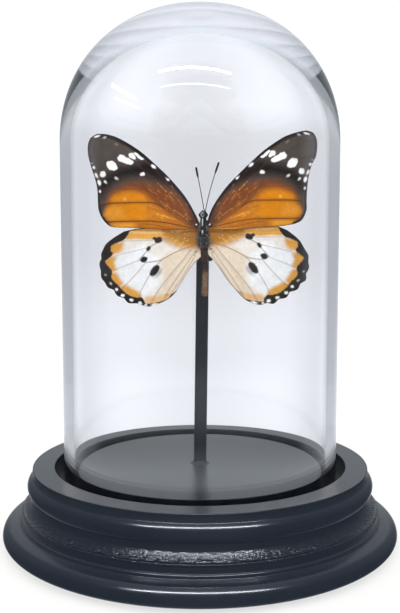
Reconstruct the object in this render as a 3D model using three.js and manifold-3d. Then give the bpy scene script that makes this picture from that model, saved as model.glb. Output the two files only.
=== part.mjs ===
// A plain tiger butterfly, wings spread, on a black bar under a glass dome that stands in the
// groove of a black turned wooden base. Millimetres, +Z up, origin at the centre of the base's
// underside. The butterfly's upper side faces -Y.
import * as THREE from "three";
import { mergeVertices } from "three/addons/utils/BufferGeometryUtils.js";
import Module from "manifold-3d";

const wasm = await Module();
wasm.setup();

// ---------------------------------------------------------------- driving dimensions
const ROUND_SIDES = 56; // facets around the base and the dome
const REST_GAP = 0.3; // clearance between pieces that stand on or against each other

const BASE = {
  footRadius: 55.0, // widest point of the whole object
  footRoundRadius: 2.97,
  stepRadius: 49.9,
  stepHeight: 7.7,
  waistRadius: 46.0,
  waistHeight: 11.3,
  beadRadius: 2.7,
  beadCentreRadius: 45.47,
  beadCentreHeight: 16.0,
  fasciaRadius: 46.7,
  ringHeight: 20.7,
  grooveOuterRadius: 40.7,
  grooveInnerRadius: 34.2,
  grooveFloorHeight: 14.5,
  discHeight: 20.35,
};

const DOME = {
  outerRadius: 38.1,
  wall: 2.8,
  crownWall: 5.9, // blown glass stays thicker at the top
  springHeight: 108.7, // where the straight wall turns into the crown
  topHeight: 146.1,
  squareness: 2.12, // superellipse exponent of the crown; 2 would be a plain ellipse
};

const POST = { width: 3.5, depth: 3.0, topHeight: 77.0, lean: THREE.MathUtils.degToRad(0.74) };
const BLOCK = { width: 5.6, depth: 2.6, height: 8.5, centreX: 0.65 };

const BODY = { x: 1.1, y: -4.0, z: 84.0 }; // reference point in the middle of the thorax
const THORAX = { halfWidth: 1.65, halfDepth: 1.85, halfLength: 3.8, centre: 1.6 };
const HEAD = { radius: 1.05, centre: 6.0, eyeRadius: 0.62, eyeOffset: 0.78 };
const LEG_RADIUS = 0.22;

const WING_THICKNESS = 0.4;
const WING_RISE = THREE.MathUtils.degToRad(3); // each wing tip stands a little towards -Y
const FOREWING_Y = -0.9; // wing planes, from the body's reference point
const HINDWING_Y = -0.1;
const SMOOTH_STEPS = 3; // straight pieces drawn between two neighbouring outline points

// ---------------------------------------------------------------- materials
const blackPaint = new THREE.MeshStandardMaterial({ color: "#1d2026", roughness: 0.35, metalness: 0 });
const clearGlass = new THREE.MeshStandardMaterial({
  color: "#eef1f6", roughness: 0.03, metalness: 0, transparent: true, opacity: 0.25,
});
const orangeScales = new THREE.MeshStandardMaterial({ color: "#b4661f", roughness: 0.7, metalness: 0 });
const paleScales = new THREE.MeshStandardMaterial({ color: "#e9e2d8", roughness: 0.7, metalness: 0 });
const darkFur = new THREE.MeshStandardMaterial({ color: "#2b2724", roughness: 0.85, metalness: 0 });

// ---------------------------------------------------------------- helpers
function mesh(name, geometry, material) {
  const result = new THREE.Mesh(geometry, material);
  result.name = name;
  return result;
}

/** Points on a circular arc in the profile plane, from angle a to angle b in degrees. */
function arc(centreR, centreZ, radius, a, b, steps) {
  return Array.from({ length: steps + 1 }, (_, i) => {
    const angle = THREE.MathUtils.degToRad(THREE.MathUtils.lerp(a, b, i / steps));
    return new THREE.Vector2(centreR + radius * Math.cos(angle), centreZ + radius * Math.sin(angle));
  });
}

/** A solid turned about the Z axis from a profile of (radius, height) points. */
function turned(profile, sides) {
  return new THREE.LatheGeometry(profile, sides).rotateX(Math.PI / 2);
}

/** A closed geometry as a manifold solid, with the shared vertices merged. */
function toSolid(geometry) {
  const bare = geometry.clone();
  bare.deleteAttribute("normal");
  bare.deleteAttribute("uv");
  const merged = mergeVertices(bare, 1e-5);
  return new wasm.Manifold(new wasm.Mesh({
    numProp: 3,
    vertProperties: new Float32Array(merged.attributes.position.array),
    triVerts: new Uint32Array(merged.index.array),
  }));
}

/** Several overlapping closed geometries joined into one body, without any loose sliver. */
function fused(geometries) {
  const joined = geometries.map(toSolid).reduce((sum, solid) => sum.add(solid));
  const [whole] = joined.decompose().sort((a, b) => b.volume() - a.volume());
  const { vertProperties, triVerts } = whole.getMesh();
  const geometry = new THREE.BufferGeometry();
  geometry.setAttribute("position", new THREE.BufferAttribute(vertProperties, 3));
  geometry.setIndex(new THREE.BufferAttribute(triVerts, 1));
  geometry.computeVertexNormals();
  return geometry;
}

/** A round bar that follows a curve; radii are spaced evenly along it, 0 closes an end. */
function limb(curve, radii, sides) {
  const profile = radii.map((radius, i) => new THREE.Vector2(radius, i / (radii.length - 1)));
  const geometry = new THREE.LatheGeometry(profile, sides);
  const position = geometry.attributes.position;
  const side = new THREE.Vector3(1, 0, 0);
  const point = new THREE.Vector3();
  for (let i = 0; i < position.count; i++) {
    const along = THREE.MathUtils.clamp(position.getY(i), 0, 1);
    const tangent = curve.getTangentAt(along);
    const across = side.clone().addScaledVector(tangent, -side.dot(tangent)).normalize();
    const normal = new THREE.Vector3().crossVectors(across, tangent);
    point.copy(curve.getPointAt(along));
    point.addScaledVector(across, position.getX(i)).addScaledVector(normal, position.getZ(i));
    position.setXYZ(i, point.x, point.y, point.z);
  }
  return geometry;
}

/** A smooth curve through 3-D points written as [x, y, z]. */
function curveThrough(points) {
  return new THREE.CatmullRomCurve3(points.map((p) => new THREE.Vector3(...p)));
}

// ---------------------------------------------------------------- base
/** The scotia: a hollow curve from the step's top edge in to the waist and out to the bead. */
function scotia(steps) {
  const top = new THREE.Vector2(BASE.beadCentreRadius + 1.13, BASE.beadCentreHeight - 2.45);
  return new THREE.QuadraticBezierCurve(
    new THREE.Vector2(BASE.stepRadius - 0.5, BASE.stepHeight + 0.1),
    new THREE.Vector2(BASE.waistRadius - 1.5, BASE.waistHeight - 1.6),
    top,
  ).getPoints(steps).slice(0, -1);
}

function baseProfile() {
  const footCentre = BASE.footRadius - BASE.footRoundRadius;
  return [
    new THREE.Vector2(0, 0),
    ...arc(footCentre, BASE.footRoundRadius, BASE.footRoundRadius, -90, 90, 8),
    new THREE.Vector2(BASE.stepRadius + 0.3, 2 * BASE.footRoundRadius),
    new THREE.Vector2(BASE.stepRadius, BASE.stepHeight - 0.4),
    ...scotia(6),
    ...arc(BASE.beadCentreRadius, BASE.beadCentreHeight, BASE.beadRadius, -65, 63, 6),
    new THREE.Vector2(BASE.fasciaRadius, BASE.ringHeight),
    new THREE.Vector2(BASE.grooveOuterRadius, BASE.ringHeight),
    new THREE.Vector2(BASE.grooveOuterRadius, BASE.grooveFloorHeight),
    new THREE.Vector2(BASE.grooveInnerRadius, BASE.grooveFloorHeight),
    new THREE.Vector2(BASE.grooveInnerRadius, BASE.discHeight),
    new THREE.Vector2(0, BASE.discHeight),
  ];
}

const base = mesh("base", turned(baseProfile(), ROUND_SIDES), blackPaint);

// ---------------------------------------------------------------- glass dome
/** The crown from the straight wall to the axis, as a superellipse. */
function crown(radius, rise, steps) {
  const power = 2 / DOME.squareness;
  return Array.from({ length: steps + 1 }, (_, i) => {
    const angle = (i / steps) * (Math.PI / 2);
    const reach = i === steps ? 0 : radius * Math.cos(angle) ** power;
    return new THREE.Vector2(reach, DOME.springHeight + rise * Math.sin(angle) ** power);
  });
}

function domeProfile() {
  const foot = BASE.grooveFloorHeight + REST_GAP;
  const innerRadius = DOME.outerRadius - DOME.wall;
  const rise = DOME.topHeight - DOME.springHeight;
  const rim = arc(DOME.outerRadius - DOME.wall / 2, foot + DOME.wall / 2, DOME.wall / 2, -180, 0, 4);
  const ceiling = crown(innerRadius, rise - DOME.crownWall, 9).reverse();
  return [...ceiling, ...rim, ...crown(DOME.outerRadius, rise, 9)];
}

const glassDome = mesh("glass_dome", turned(domeProfile(), ROUND_SIDES), clearGlass);

// ---------------------------------------------------------------- post and mounting block
const postFoot = BASE.discHeight + REST_GAP;
const postLength = POST.topHeight - postFoot;
const post = mesh("post", new THREE.BoxGeometry(POST.width, POST.depth, postLength), blackPaint);
post.rotation.y = POST.lean;
post.position.set(Math.sin(POST.lean) * postLength / 2, 0, postFoot + postLength / 2);

const block = mesh("mount_block", new THREE.BoxGeometry(BLOCK.width, BLOCK.depth, BLOCK.height), blackPaint);
block.position.set(BLOCK.centreX, 0, POST.topHeight + REST_GAP + BLOCK.height / 2);

// ---------------------------------------------------------------- butterfly
const butterfly = new THREE.Group();
butterfly.position.set(BODY.x, BODY.y, BODY.z);

function ellipsoid(halfX, halfY, halfZ, x, z, sides) {
  const ball = new THREE.SphereGeometry(1, sides, Math.round(sides * 0.7)).rotateX(Math.PI / 2);
  return ball.scale(halfX, halfY, halfZ).translate(x, 0, z);
}

/** Legs folded flat along the thorax: hip, knee and foot of each, mirrored for the other side. */
const FOLDED_LEGS = [
  [[0.5, 0.9, 3.6], [0.8, 1.6, 4.5], [1.0, 1.9, 1.4], [0.8, 2.0, -1.6]],
  [[0.6, 1.1, 1.0], [1.1, 1.7, 1.9], [1.25, 2.1, -1.6], [1.0, 2.2, -4.4]],
];

function bodyGeometry() {
  const abdomen = limb(
    curveThrough([[0, 0, -0.6], [0.05, 0.1, -4.0], [0.3, 0.25, -9.0], [0.2, 0.3, -16.4]]),
    [0, 1.15, 1.1, 0.88, 0.72, 0.66, 0.7, 0.76, 0.82, 0.84, 0.78, 0.6, 0],
    12,
  );
  const { halfWidth, halfDepth, halfLength, centre } = THORAX;
  const parts = [
    ellipsoid(halfWidth, halfDepth, halfLength, 0, centre, 14),
    ellipsoid(HEAD.radius, HEAD.radius, HEAD.radius, -0.15, HEAD.centre, 10),
    abdomen,
  ];
  for (const side of [-1, 1]) {
    const { eyeRadius, eyeOffset } = HEAD;
    parts.push(ellipsoid(eyeRadius, eyeRadius, eyeRadius, side * eyeOffset - 0.15, HEAD.centre + 0.1, 8));
    for (const leg of FOLDED_LEGS) {
      const path = curveThrough(leg.map(([x, y, z]) => [side * x, y, z]));
      parts.push(limb(path, [0, LEG_RADIUS, LEG_RADIUS, LEG_RADIUS, LEG_RADIUS, LEG_RADIUS, 0], 5));
    }
  }
  return fused(parts);
}

butterfly.add(mesh("butterfly_body", bodyGeometry(), darkFur));

/** A thin feeler that ends in a narrow club. */
function antenna(name, base3, middle, tip) {
  const radii = [0, 0.16, 0.15, 0.15, 0.15, 0.15, 0.17, 0.27, 0.31, 0.25, 0];
  return mesh(name, limb(curveThrough([base3, middle, tip]), radii, 6), darkFur);
}

butterfly.add(antenna("antenna_left", [-0.2, 0, 7.5], [-1.0, -0.4, 12.0], [-2.2, -0.8, 18.8]));
butterfly.add(antenna("antenna_right", [0.35, 0, 7.5], [1.9, -0.4, 13.0], [4.0, -0.8, 20.1]));

/**
 * Wing outlines as [outward, upward] from the body's reference point: edges run from the root
 * along the front edge to the tip, down the outer edge and back along the inner edge. Each
 * inner list is one smooth edge; edges meet in corners.
 */
const WING_OUTLINES = {
  forewing_left: [
    [[2.0, 5.4], [2.8, 7.0], [5.2, 11.0], [9.2, 15.7], [13.5, 19.8], [17.4, 23.1], [22.0, 25.9],
      [25.6, 27.3], [28.5, 27.5], [30.2, 26.4], [31.0, 24.5], [31.0, 22.0], [30.3, 19.0],
      [29.2, 15.6], [28.6, 12.7], [28.5, 9.7], [28.3, 7.2], [27.4, 5.0], [26.2, 3.5], [24.7, 2.7],
      [20.6, 2.5], [15.0, 2.3], [9.4, 2.0], [2.0, 2.1]],
  ],
  forewing_right: [
    [[2.0, 7.2], [2.6, 8.6], [5.8, 13.2], [9.8, 17.4], [13.8, 21.2], [16.9, 23.8], [21.4, 26.7],
      [25.2, 28.1], [27.3, 28.5], [29.0, 27.9], [29.9, 26.4], [30.2, 24.5], [29.9, 21.6],
      [28.7, 19.0], [27.9, 15.6], [27.6, 12.7], [27.5, 9.7], [27.5, 7.2], [26.3, 4.6], [24.2, 3.5],
      [20.3, 2.9], [13.9, 2.5], [9.6, 2.1], [2.0, 2.0]],
  ],
  hindwing_left: [
    [[2.0, 2.0], [6.0, 3.4], [10.5, 3.5], [14.6, 2.6], [18.5, 2.2], [21.7, 1.5], [24.5, -0.2],
      [26.5, -1.8], [27.3, -3.2]],
    [[27.3, -3.2], [27.9, -4.6], [27.8, -5.8]],
    [[27.8, -5.8], [28.4, -7.2], [28.0, -9.2]],
    [[28.0, -9.2], [27.9, -11.0], [26.9, -12.3]],
    [[26.9, -12.3], [26.2, -13.6], [24.6, -14.3]],
    [[24.6, -14.3], [23.6, -15.9], [21.8, -16.6]],
    [[21.8, -16.6], [20.6, -17.9], [18.4, -18.0]],
    [[18.4, -18.0], [15.2, -18.9], [12.1, -18.0], [9.5, -16.7], [7.7, -15.0], [4.3, -9.7], [1.7, -5.6]],
    [[1.7, -5.6], [1.45, -3.4], [1.9, -1.0]],
  ],
  hindwing_right: [
    [[2.0, 2.0], [6.0, 3.9], [11.0, 4.7], [16.0, 4.3], [20.0, 2.9], [22.6, 1.8], [25.6, -0.6],
      [27.3, -3.2]],
    [[27.3, -3.2], [28.3, -4.9], [28.3, -6.6]],
    [[28.3, -6.6], [28.5, -8.3], [27.7, -9.9]],
    [[27.7, -9.9], [27.7, -11.6], [26.2, -12.6]],
    [[26.2, -12.6], [25.4, -14.2], [23.4, -14.8]],
    [[23.4, -14.8], [22.4, -16.4], [20.4, -16.8]],
    [[20.4, -16.8], [19.0, -18.1], [17.2, -17.9]],
    [[17.2, -17.9], [14.9, -18.4], [11.4, -17.1], [8.8, -14.5], [5.3, -9.3], [1.7, -4.3]],
    [[1.7, -4.3], [1.45, -2.6], [1.9, -1.0]],
  ],
};

function wing(name, edges, side, y) {
  const outline = edges.flatMap((edge) => {
    const points = edge.map(([out, up]) => new THREE.Vector2(side * out, up));
    return new THREE.SplineCurve(points).getPoints(SMOOTH_STEPS * (points.length - 1)).slice(0, -1);
  });
  const [lastOut, lastUp] = edges.at(-1).at(-1);
  outline.push(new THREE.Vector2(side * lastOut, lastUp));
  const geometry = new THREE.ExtrudeGeometry(new THREE.Shape(outline), {
    depth: WING_THICKNESS,
    bevelEnabled: false,
  });
  geometry.translate(0, 0, -WING_THICKNESS / 2).rotateX(Math.PI / 2);
  const result = mesh(name, geometry, name.startsWith("fore") ? orangeScales : paleScales);
  result.position.y = y;
  result.rotation.z = side * -WING_RISE;
  return result;
}

for (const [name, edges] of Object.entries(WING_OUTLINES)) {
  const side = name.endsWith("left") ? -1 : 1;
  butterfly.add(wing(name, edges, side, name.startsWith("fore") ? FOREWING_Y : HINDWING_Y));
}

const group = new THREE.Group();
group.add(base, glassDome, post, block, butterfly);
export default group;
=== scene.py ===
"""Looks of a dried butterfly under a glass dome on a turned black base.

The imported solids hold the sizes. This script dresses them: a finely turned base, a clear dome,
four veined wings with their scale pattern, a furred body, a studio and a camera.
"""

import logging
import math
from dataclasses import dataclass
from enum import Enum
from typing import Union

import bpy
import numpy as np
from mathutils import Matrix, Vector


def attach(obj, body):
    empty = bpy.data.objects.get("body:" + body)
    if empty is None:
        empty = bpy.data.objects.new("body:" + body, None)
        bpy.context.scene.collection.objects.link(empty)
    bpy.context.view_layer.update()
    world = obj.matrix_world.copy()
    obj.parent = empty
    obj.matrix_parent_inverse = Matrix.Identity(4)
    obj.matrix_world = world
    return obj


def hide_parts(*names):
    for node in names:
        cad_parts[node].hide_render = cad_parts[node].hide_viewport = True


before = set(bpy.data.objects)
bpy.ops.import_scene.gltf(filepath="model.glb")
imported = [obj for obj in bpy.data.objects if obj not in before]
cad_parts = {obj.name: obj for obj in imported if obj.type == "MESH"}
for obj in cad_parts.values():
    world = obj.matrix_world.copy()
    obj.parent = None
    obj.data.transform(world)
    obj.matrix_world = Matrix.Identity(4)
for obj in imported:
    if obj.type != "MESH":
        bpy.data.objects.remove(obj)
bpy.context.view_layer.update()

MM = 0.001
LOG = logging.getLogger("scene")
Point = tuple[float, float]
Place = tuple[float, float, float]
Colour = tuple[float, float, float]
Form = tuple[np.ndarray, list[np.ndarray]]
Piece = bpy.types.Object
Finish = bpy.types.Material
Socket = bpy.types.NodeSocket
Value = Union[Socket, float]
Paint = Union[Socket, Colour]


# ------------------------------------------------------------------ plane geometry
def smooth_path(points: list[Point], steps: int) -> np.ndarray:
    """Draw a smooth curve through points.

    Args:
        points: The points that the curve passes, in order.
        steps: Straight pieces between two neighbouring points.

    Returns:
        An array of (n, 2) positions along the curve.
    """
    knots = np.array(points, dtype=float)
    padded = np.vstack([knots[:1], knots, knots[-1:]])
    share = np.linspace(0.0, 1.0, steps, endpoint=False)[:, None]
    pieces = []
    for i in range(len(knots) - 1):
        before, start, end, after = padded[i:i + 4]
        pull_out = (end - before) * 0.5
        pull_in = (after - start) * 0.5
        cubic = (2 * start - 2 * end + pull_out + pull_in) * share**3
        square = (-3 * start + 3 * end - 2 * pull_out - pull_in) * share**2
        pieces.append(cubic + square + pull_out * share + start)
    pieces.append(knots[-1:])
    return np.vstack(pieces)


def spaced(path: np.ndarray, count: int) -> np.ndarray:
    """Place points at even distances along a path.

    Args:
        path: The path as (n, 2) positions.
        count: How many points to place, ends included.

    Returns:
        An array of (count, 2) positions.
    """
    lengths = np.r_[0.0, np.cumsum(np.linalg.norm(np.diff(path, axis=0), axis=1))]
    wanted = np.linspace(0.0, lengths[-1], count)
    return np.column_stack([np.interp(wanted, lengths, path[:, k]) for k in range(2)])


def distance_to(path: np.ndarray, places: np.ndarray) -> tuple[np.ndarray, np.ndarray]:
    """Measure how far places are from a path.

    Args:
        path: The path as (n, 2) positions.
        places: The (m, 2) positions to measure from.

    Returns:
        The distance of each place, and how far along the path its nearest point is, from 0 to 1.
    """
    best = np.full(len(places), np.inf)
    along = np.zeros(len(places))
    lengths = np.linalg.norm(np.diff(path, axis=0), axis=1)
    total = max(lengths.sum(), 1e-12)
    walked = 0.0
    for start, end, length in zip(path[:-1], path[1:], lengths):
        step = end - start
        share = np.clip((places - start) @ step / max(length**2, 1e-18), 0.0, 1.0)
        gap = np.linalg.norm(places - start - share[:, None] * step, axis=1)
        nearer = gap < best
        best[nearer] = gap[nearer]
        along[nearer] = (walked + share[nearer] * length) / total
        walked += length
    return best, along


def is_inside(outline: np.ndarray, places: np.ndarray) -> np.ndarray:
    """Tell which places lie inside a closed outline.

    Args:
        outline: The outline's corners, in order.
        places: The (m, 2) positions to test.

    Returns:
        One boolean for each place.
    """
    result = np.zeros(len(places), dtype=bool)
    x, y = places[:, 0], places[:, 1]
    for (x0, y0), (x1, y1) in zip(outline, np.roll(outline, -1, axis=0)):
        if y0 == y1:
            continue
        crosses = (y0 > y) != (y1 > y)
        result ^= crosses & (x < (x1 - x0) * (y - y0) / (y1 - y0) + x0)
    return result


def depth_in(outline: np.ndarray, places: np.ndarray) -> np.ndarray:
    """Measure how deep places lie inside a closed outline.

    Args:
        outline: The outline's corners, the first one repeated at the end.
        places: The (m, 2) positions to measure.

    Returns:
        The distance to the outline, negative outside.
    """
    gap, _ = distance_to(outline, places)
    return np.where(is_inside(outline, places), gap, -gap)


def ramp(low: float, high: float, value: np.ndarray) -> np.ndarray:
    """Rise smoothly from 0 at low to 1 at high.

    Args:
        low: Where the rise starts.
        high: Where it ends; below low, the ramp falls instead.
        value: The values to map.

    Returns:
        The mapped values.
    """
    share = np.clip((value - low) / (high - low), 0.0, 1.0)
    return share * share * (3 - 2 * share)


def ripple(places: np.ndarray, size: float, seed: float) -> np.ndarray:
    """Evaluate a soft, irregular, repeatable wave field.

    Args:
        places: The (m, 2) positions to evaluate at.
        size: Typical distance between two crests, in the unit of places.
        seed: Shifts the pattern.

    Returns:
        Values from about -1 to 1.
    """
    x, y = places[:, 0] * math.tau / size, places[:, 1] * math.tau / size
    total = np.sin(x + 1.7 * np.sin(0.61 * y + seed)) + np.sin(0.83 * y + 1.3 * np.sin(0.73 * x - seed))
    return (total + np.sin(0.57 * (x + y) + 2.1 * seed)) / 3


@dataclass(frozen=True)
class Wave:
    """A ripple with its height, the distance between its crests and its seed."""

    height: float
    size: float
    seed: float

    def over(self, places: np.ndarray) -> np.ndarray:
        """The wave's height at each of the (m, 2) places."""
        return self.height * ripple(places, self.size, self.seed)


def bent(start: np.ndarray, pull: np.ndarray, end: np.ndarray, count: int) -> np.ndarray:
    """Draw a curve with one bend.

    Args:
        start: Its first point.
        pull: The point that it bends towards.
        end: Its last point.
        count: How many points to place, ends included.

    Returns:
        The curve's points.
    """
    share = np.linspace(0.0, 1.0, count)[:, None]
    return (1 - share)**2 * start + 2 * share * (1 - share) * pull + share**2 * end


# ------------------------------------------------------------------ meshes
def make_piece(name: str, points: np.ndarray, faces: list[np.ndarray], smooth: bool = True) -> Piece:
    """Make a mesh object at the origin.

    Args:
        name: The piece's name.
        points: The (n, 3) positions in metres.
        faces: Arrays of corner indices, each array with faces of one corner count.
        smooth: Whether the faces are shaded smooth.

    Returns:
        The new object, linked to the scene.
    """
    mesh = bpy.data.meshes.new(name)
    mesh.vertices.add(len(points))
    mesh.vertices.foreach_set("co", np.ascontiguousarray(points, dtype=np.float32).ravel())
    corners = np.concatenate([block.ravel() for block in faces]).astype(np.int32)
    totals = np.concatenate([np.full(len(block), block.shape[1], dtype=np.int32) for block in faces])
    mesh.loops.add(len(corners))
    mesh.loops.foreach_set("vertex_index", corners)
    mesh.polygons.add(len(totals))
    mesh.polygons.foreach_set("loop_start", np.r_[0, np.cumsum(totals)[:-1]].astype(np.int32))
    mesh.polygons.foreach_set("loop_total", totals)
    mesh.polygons.foreach_set("use_smooth", np.full(len(totals), smooth))
    mesh.update(calc_edges=True)
    mesh.validate()
    piece = bpy.data.objects.new(name, mesh)
    bpy.context.scene.collection.objects.link(piece)
    return piece


def note_values(piece: Piece, name: str, values: np.ndarray) -> None:
    """Store a named value for each of a piece's points."""
    attribute = piece.data.attributes.new(name, "FLOAT", "POINT")
    attribute.data.foreach_set("value", values.astype(np.float32))


def ringed_faces(rings: int, sides: int, flip: bool = False) -> list[np.ndarray]:
    """List the faces of a closed form: two end points, then the points of ring after ring.

    Args:
        rings: How many rings there are.
        sides: Points on each ring.
        flip: Whether the rings run the other way round.

    Returns:
        The triangles at both ends, and the quads between the rings.
    """
    here = np.arange(sides)
    after = (here + 1) % sides
    last = 2 + (rings - 1) * sides
    start_fan = np.column_stack([np.zeros(sides, int), 2 + after, 2 + here])
    end_fan = np.column_stack([np.ones(sides, int), last + here, last + after])
    fans = np.vstack([start_fan, end_fan])
    ring = np.arange(rings - 1)[:, None] * sides + 2
    corners = [ring + here, ring + after, ring + sides + after, ring + sides + here]
    quads = np.stack(corners, axis=-1).reshape(-1, 4)
    return [fans[:, [0, 2, 1]], quads[:, ::-1]] if flip else [fans, quads]


def turned_piece(name: str, profile: list[Point], sides: int) -> Piece:
    """Turn a profile about the Z axis into a closed piece.

    Args:
        name: The piece's name.
        profile: (radius, height) points in millimetres, from the axis outwards and back to it.
        sides: Facets around the axis.

    Returns:
        The new object.
    """
    curve = np.array(profile) * MM
    angle = np.linspace(0.0, math.tau, sides, endpoint=False)
    inner = curve[1:-1]
    ring_x = inner[:, :1] * np.cos(angle)
    ring_y = inner[:, :1] * np.sin(angle)
    ring_z = np.repeat(inner[:, 1:], sides, axis=1)
    rings = np.stack([ring_x, ring_y, ring_z], axis=-1).reshape(-1, 3)
    poles = np.array([[0.0, 0.0, curve[0, 1]], [0.0, 0.0, curve[-1, 1]]])
    return make_piece(name, np.vstack([poles, rings]), ringed_faces(len(inner), sides))


def arc(centre: Point, radius: float, start: float, end: float, steps: int) -> list[Point]:
    """Points on a circular arc in a profile.

    Args:
        centre: The arc's centre.
        radius: Its radius.
        start: First angle in degrees.
        end: Last angle in degrees.
        steps: Straight pieces in the arc.

    Returns:
        The points from start to end.
    """
    angles = np.radians(np.linspace(start, end, steps + 1))
    return [(centre[0] + radius * math.cos(a), centre[1] + radius * math.sin(a)) for a in angles]


def eased(corners: list[Point], radius: float, hold: float = 0.12, steps: int = 4) -> list[Point]:
    """Round the inner corners of a broken line a little and hold the flats beside them.

    Args:
        corners: The line's points; the first and the last stay sharp.
        radius: Radius of the rounding.
        hold: Distance from a rounding to the extra point that keeps the flat flat.
        steps: Straight pieces in each rounding.

    Returns:
        The points of the eased line.
    """
    points = [np.array(corners[0], float)]
    for before, corner, after in zip(corners[:-2], corners[1:-1], corners[2:]):
        corner = np.array(corner, float)
        back = np.array(before) - corner
        ahead = np.array(after) - corner
        reach = min(radius, 0.3 * np.linalg.norm(back), 0.3 * np.linalg.norm(ahead))
        back /= np.linalg.norm(back)
        ahead /= np.linalg.norm(ahead)
        points.append(corner + back * (reach + hold * reach / radius))
        for share in np.linspace(0.0, 1.0, steps + 1):
            near = corner + back * reach * (1 - share)
            far = corner + ahead * reach * share
            points.append(near * (1 - share) + far * share)
        points.append(corner + ahead * (reach + hold * reach / radius))
    points.append(np.array(corners[-1], float))
    return [tuple(p) for p in points]


def tube(path: np.ndarray, radii: np.ndarray, sides: int) -> Form:
    """Make a round bar that follows a path, with closed ends.

    Args:
        path: (n, 3) positions.
        radii: The radius at each position.
        sides: Facets around the bar.

    Returns:
        Its points, and its faces as triangles and quads.
    """
    tangents = np.gradient(path, axis=0)
    tangents /= np.linalg.norm(tangents, axis=1)[:, None]
    side = np.cross(tangents, [0.0, 1.0, 0.05])
    side /= np.linalg.norm(side, axis=1)[:, None]
    up = np.cross(side, tangents)
    angle = np.linspace(0.0, math.tau, sides, endpoint=False)[None, :, None]
    ring = side[:, None, :] * np.cos(angle) + up[:, None, :] * np.sin(angle)
    rings = (path[:, None, :] + ring * radii[:, None, None]).reshape(-1, 3)
    return np.vstack([path[:1], path[-1:], rings]), ringed_faces(len(path), sides, flip=True)


def joined(parts: list[Form]) -> Form:
    """Gather several point and face sets into one.

    Args:
        parts: Point and face sets.

    Returns:
        All points, and all faces with their indices moved along.
    """
    points, faces, first = [], [], 0
    for part_points, part_faces in parts:
        points.append(part_points)
        faces.extend(block + first for block in part_faces)
        first += len(part_points)
    return np.vstack(points), faces


# ------------------------------------------------------------------ node trees
class Nodes:
    """Adds nodes to a node tree and links them."""

    def __init__(self, tree: bpy.types.NodeTree) -> None:
        """Work on a tree."""
        self.tree = tree

    def plug(self, value: object, socket: Socket) -> None:
        """Link a socket to another one, or set a plain value on it."""
        if isinstance(value, Socket):
            self.tree.links.new(value, socket)
        else:
            socket.default_value = value

    def add(self, kind: str, *ordered: object, **named: object) -> bpy.types.Node:
        """Add a node and fill its inputs.

        Args:
            kind: The node's type.
            ordered: Values or sockets for its first inputs.
            named: Values or sockets by input name, underscores standing for spaces.

        Returns:
            The new node.
        """
        node = self.tree.nodes.new(kind)
        for index, value in enumerate(ordered):
            self.plug(value, node.inputs[index])
        for name, value in named.items():
            self.plug(value, node.inputs[name.replace("_", " ")])
        return node

    def span(self, value: Socket, source: Point, target: Point = (0.0, 1.0)) -> Socket:
        """Map a value's range onto another one, clamped.

        Args:
            value: The value to map.
            source: Both ends of its range.
            target: What they become.

        Returns:
            The mapped value.
        """
        return self.add("ShaderNodeMapRange", value, *source, *target).outputs[0]

    def reckon(self, kind: str, first: Socket, second: Value = 0.0, clamp: bool = False) -> Socket:
        """Combine two values by arithmetic.

        Args:
            kind: The operation, such as ADD or MULTIPLY.
            first: The first value.
            second: The second value.
            clamp: Whether the result is kept from 0 to 1.

        Returns:
            The result.
        """
        node = self.add("ShaderNodeMath", first, second)
        node.operation = kind
        node.use_clamp = clamp
        return node.outputs[0]

    def times(self, first: Socket, second: Value) -> Socket:
        """Multiply two values."""
        return self.reckon("MULTIPLY", first, second)

    def axes(self, vector: Socket) -> list[Socket]:
        """Split a vector into its X, Y and Z."""
        return list(self.add("ShaderNodeSeparateXYZ", vector).outputs)


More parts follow.
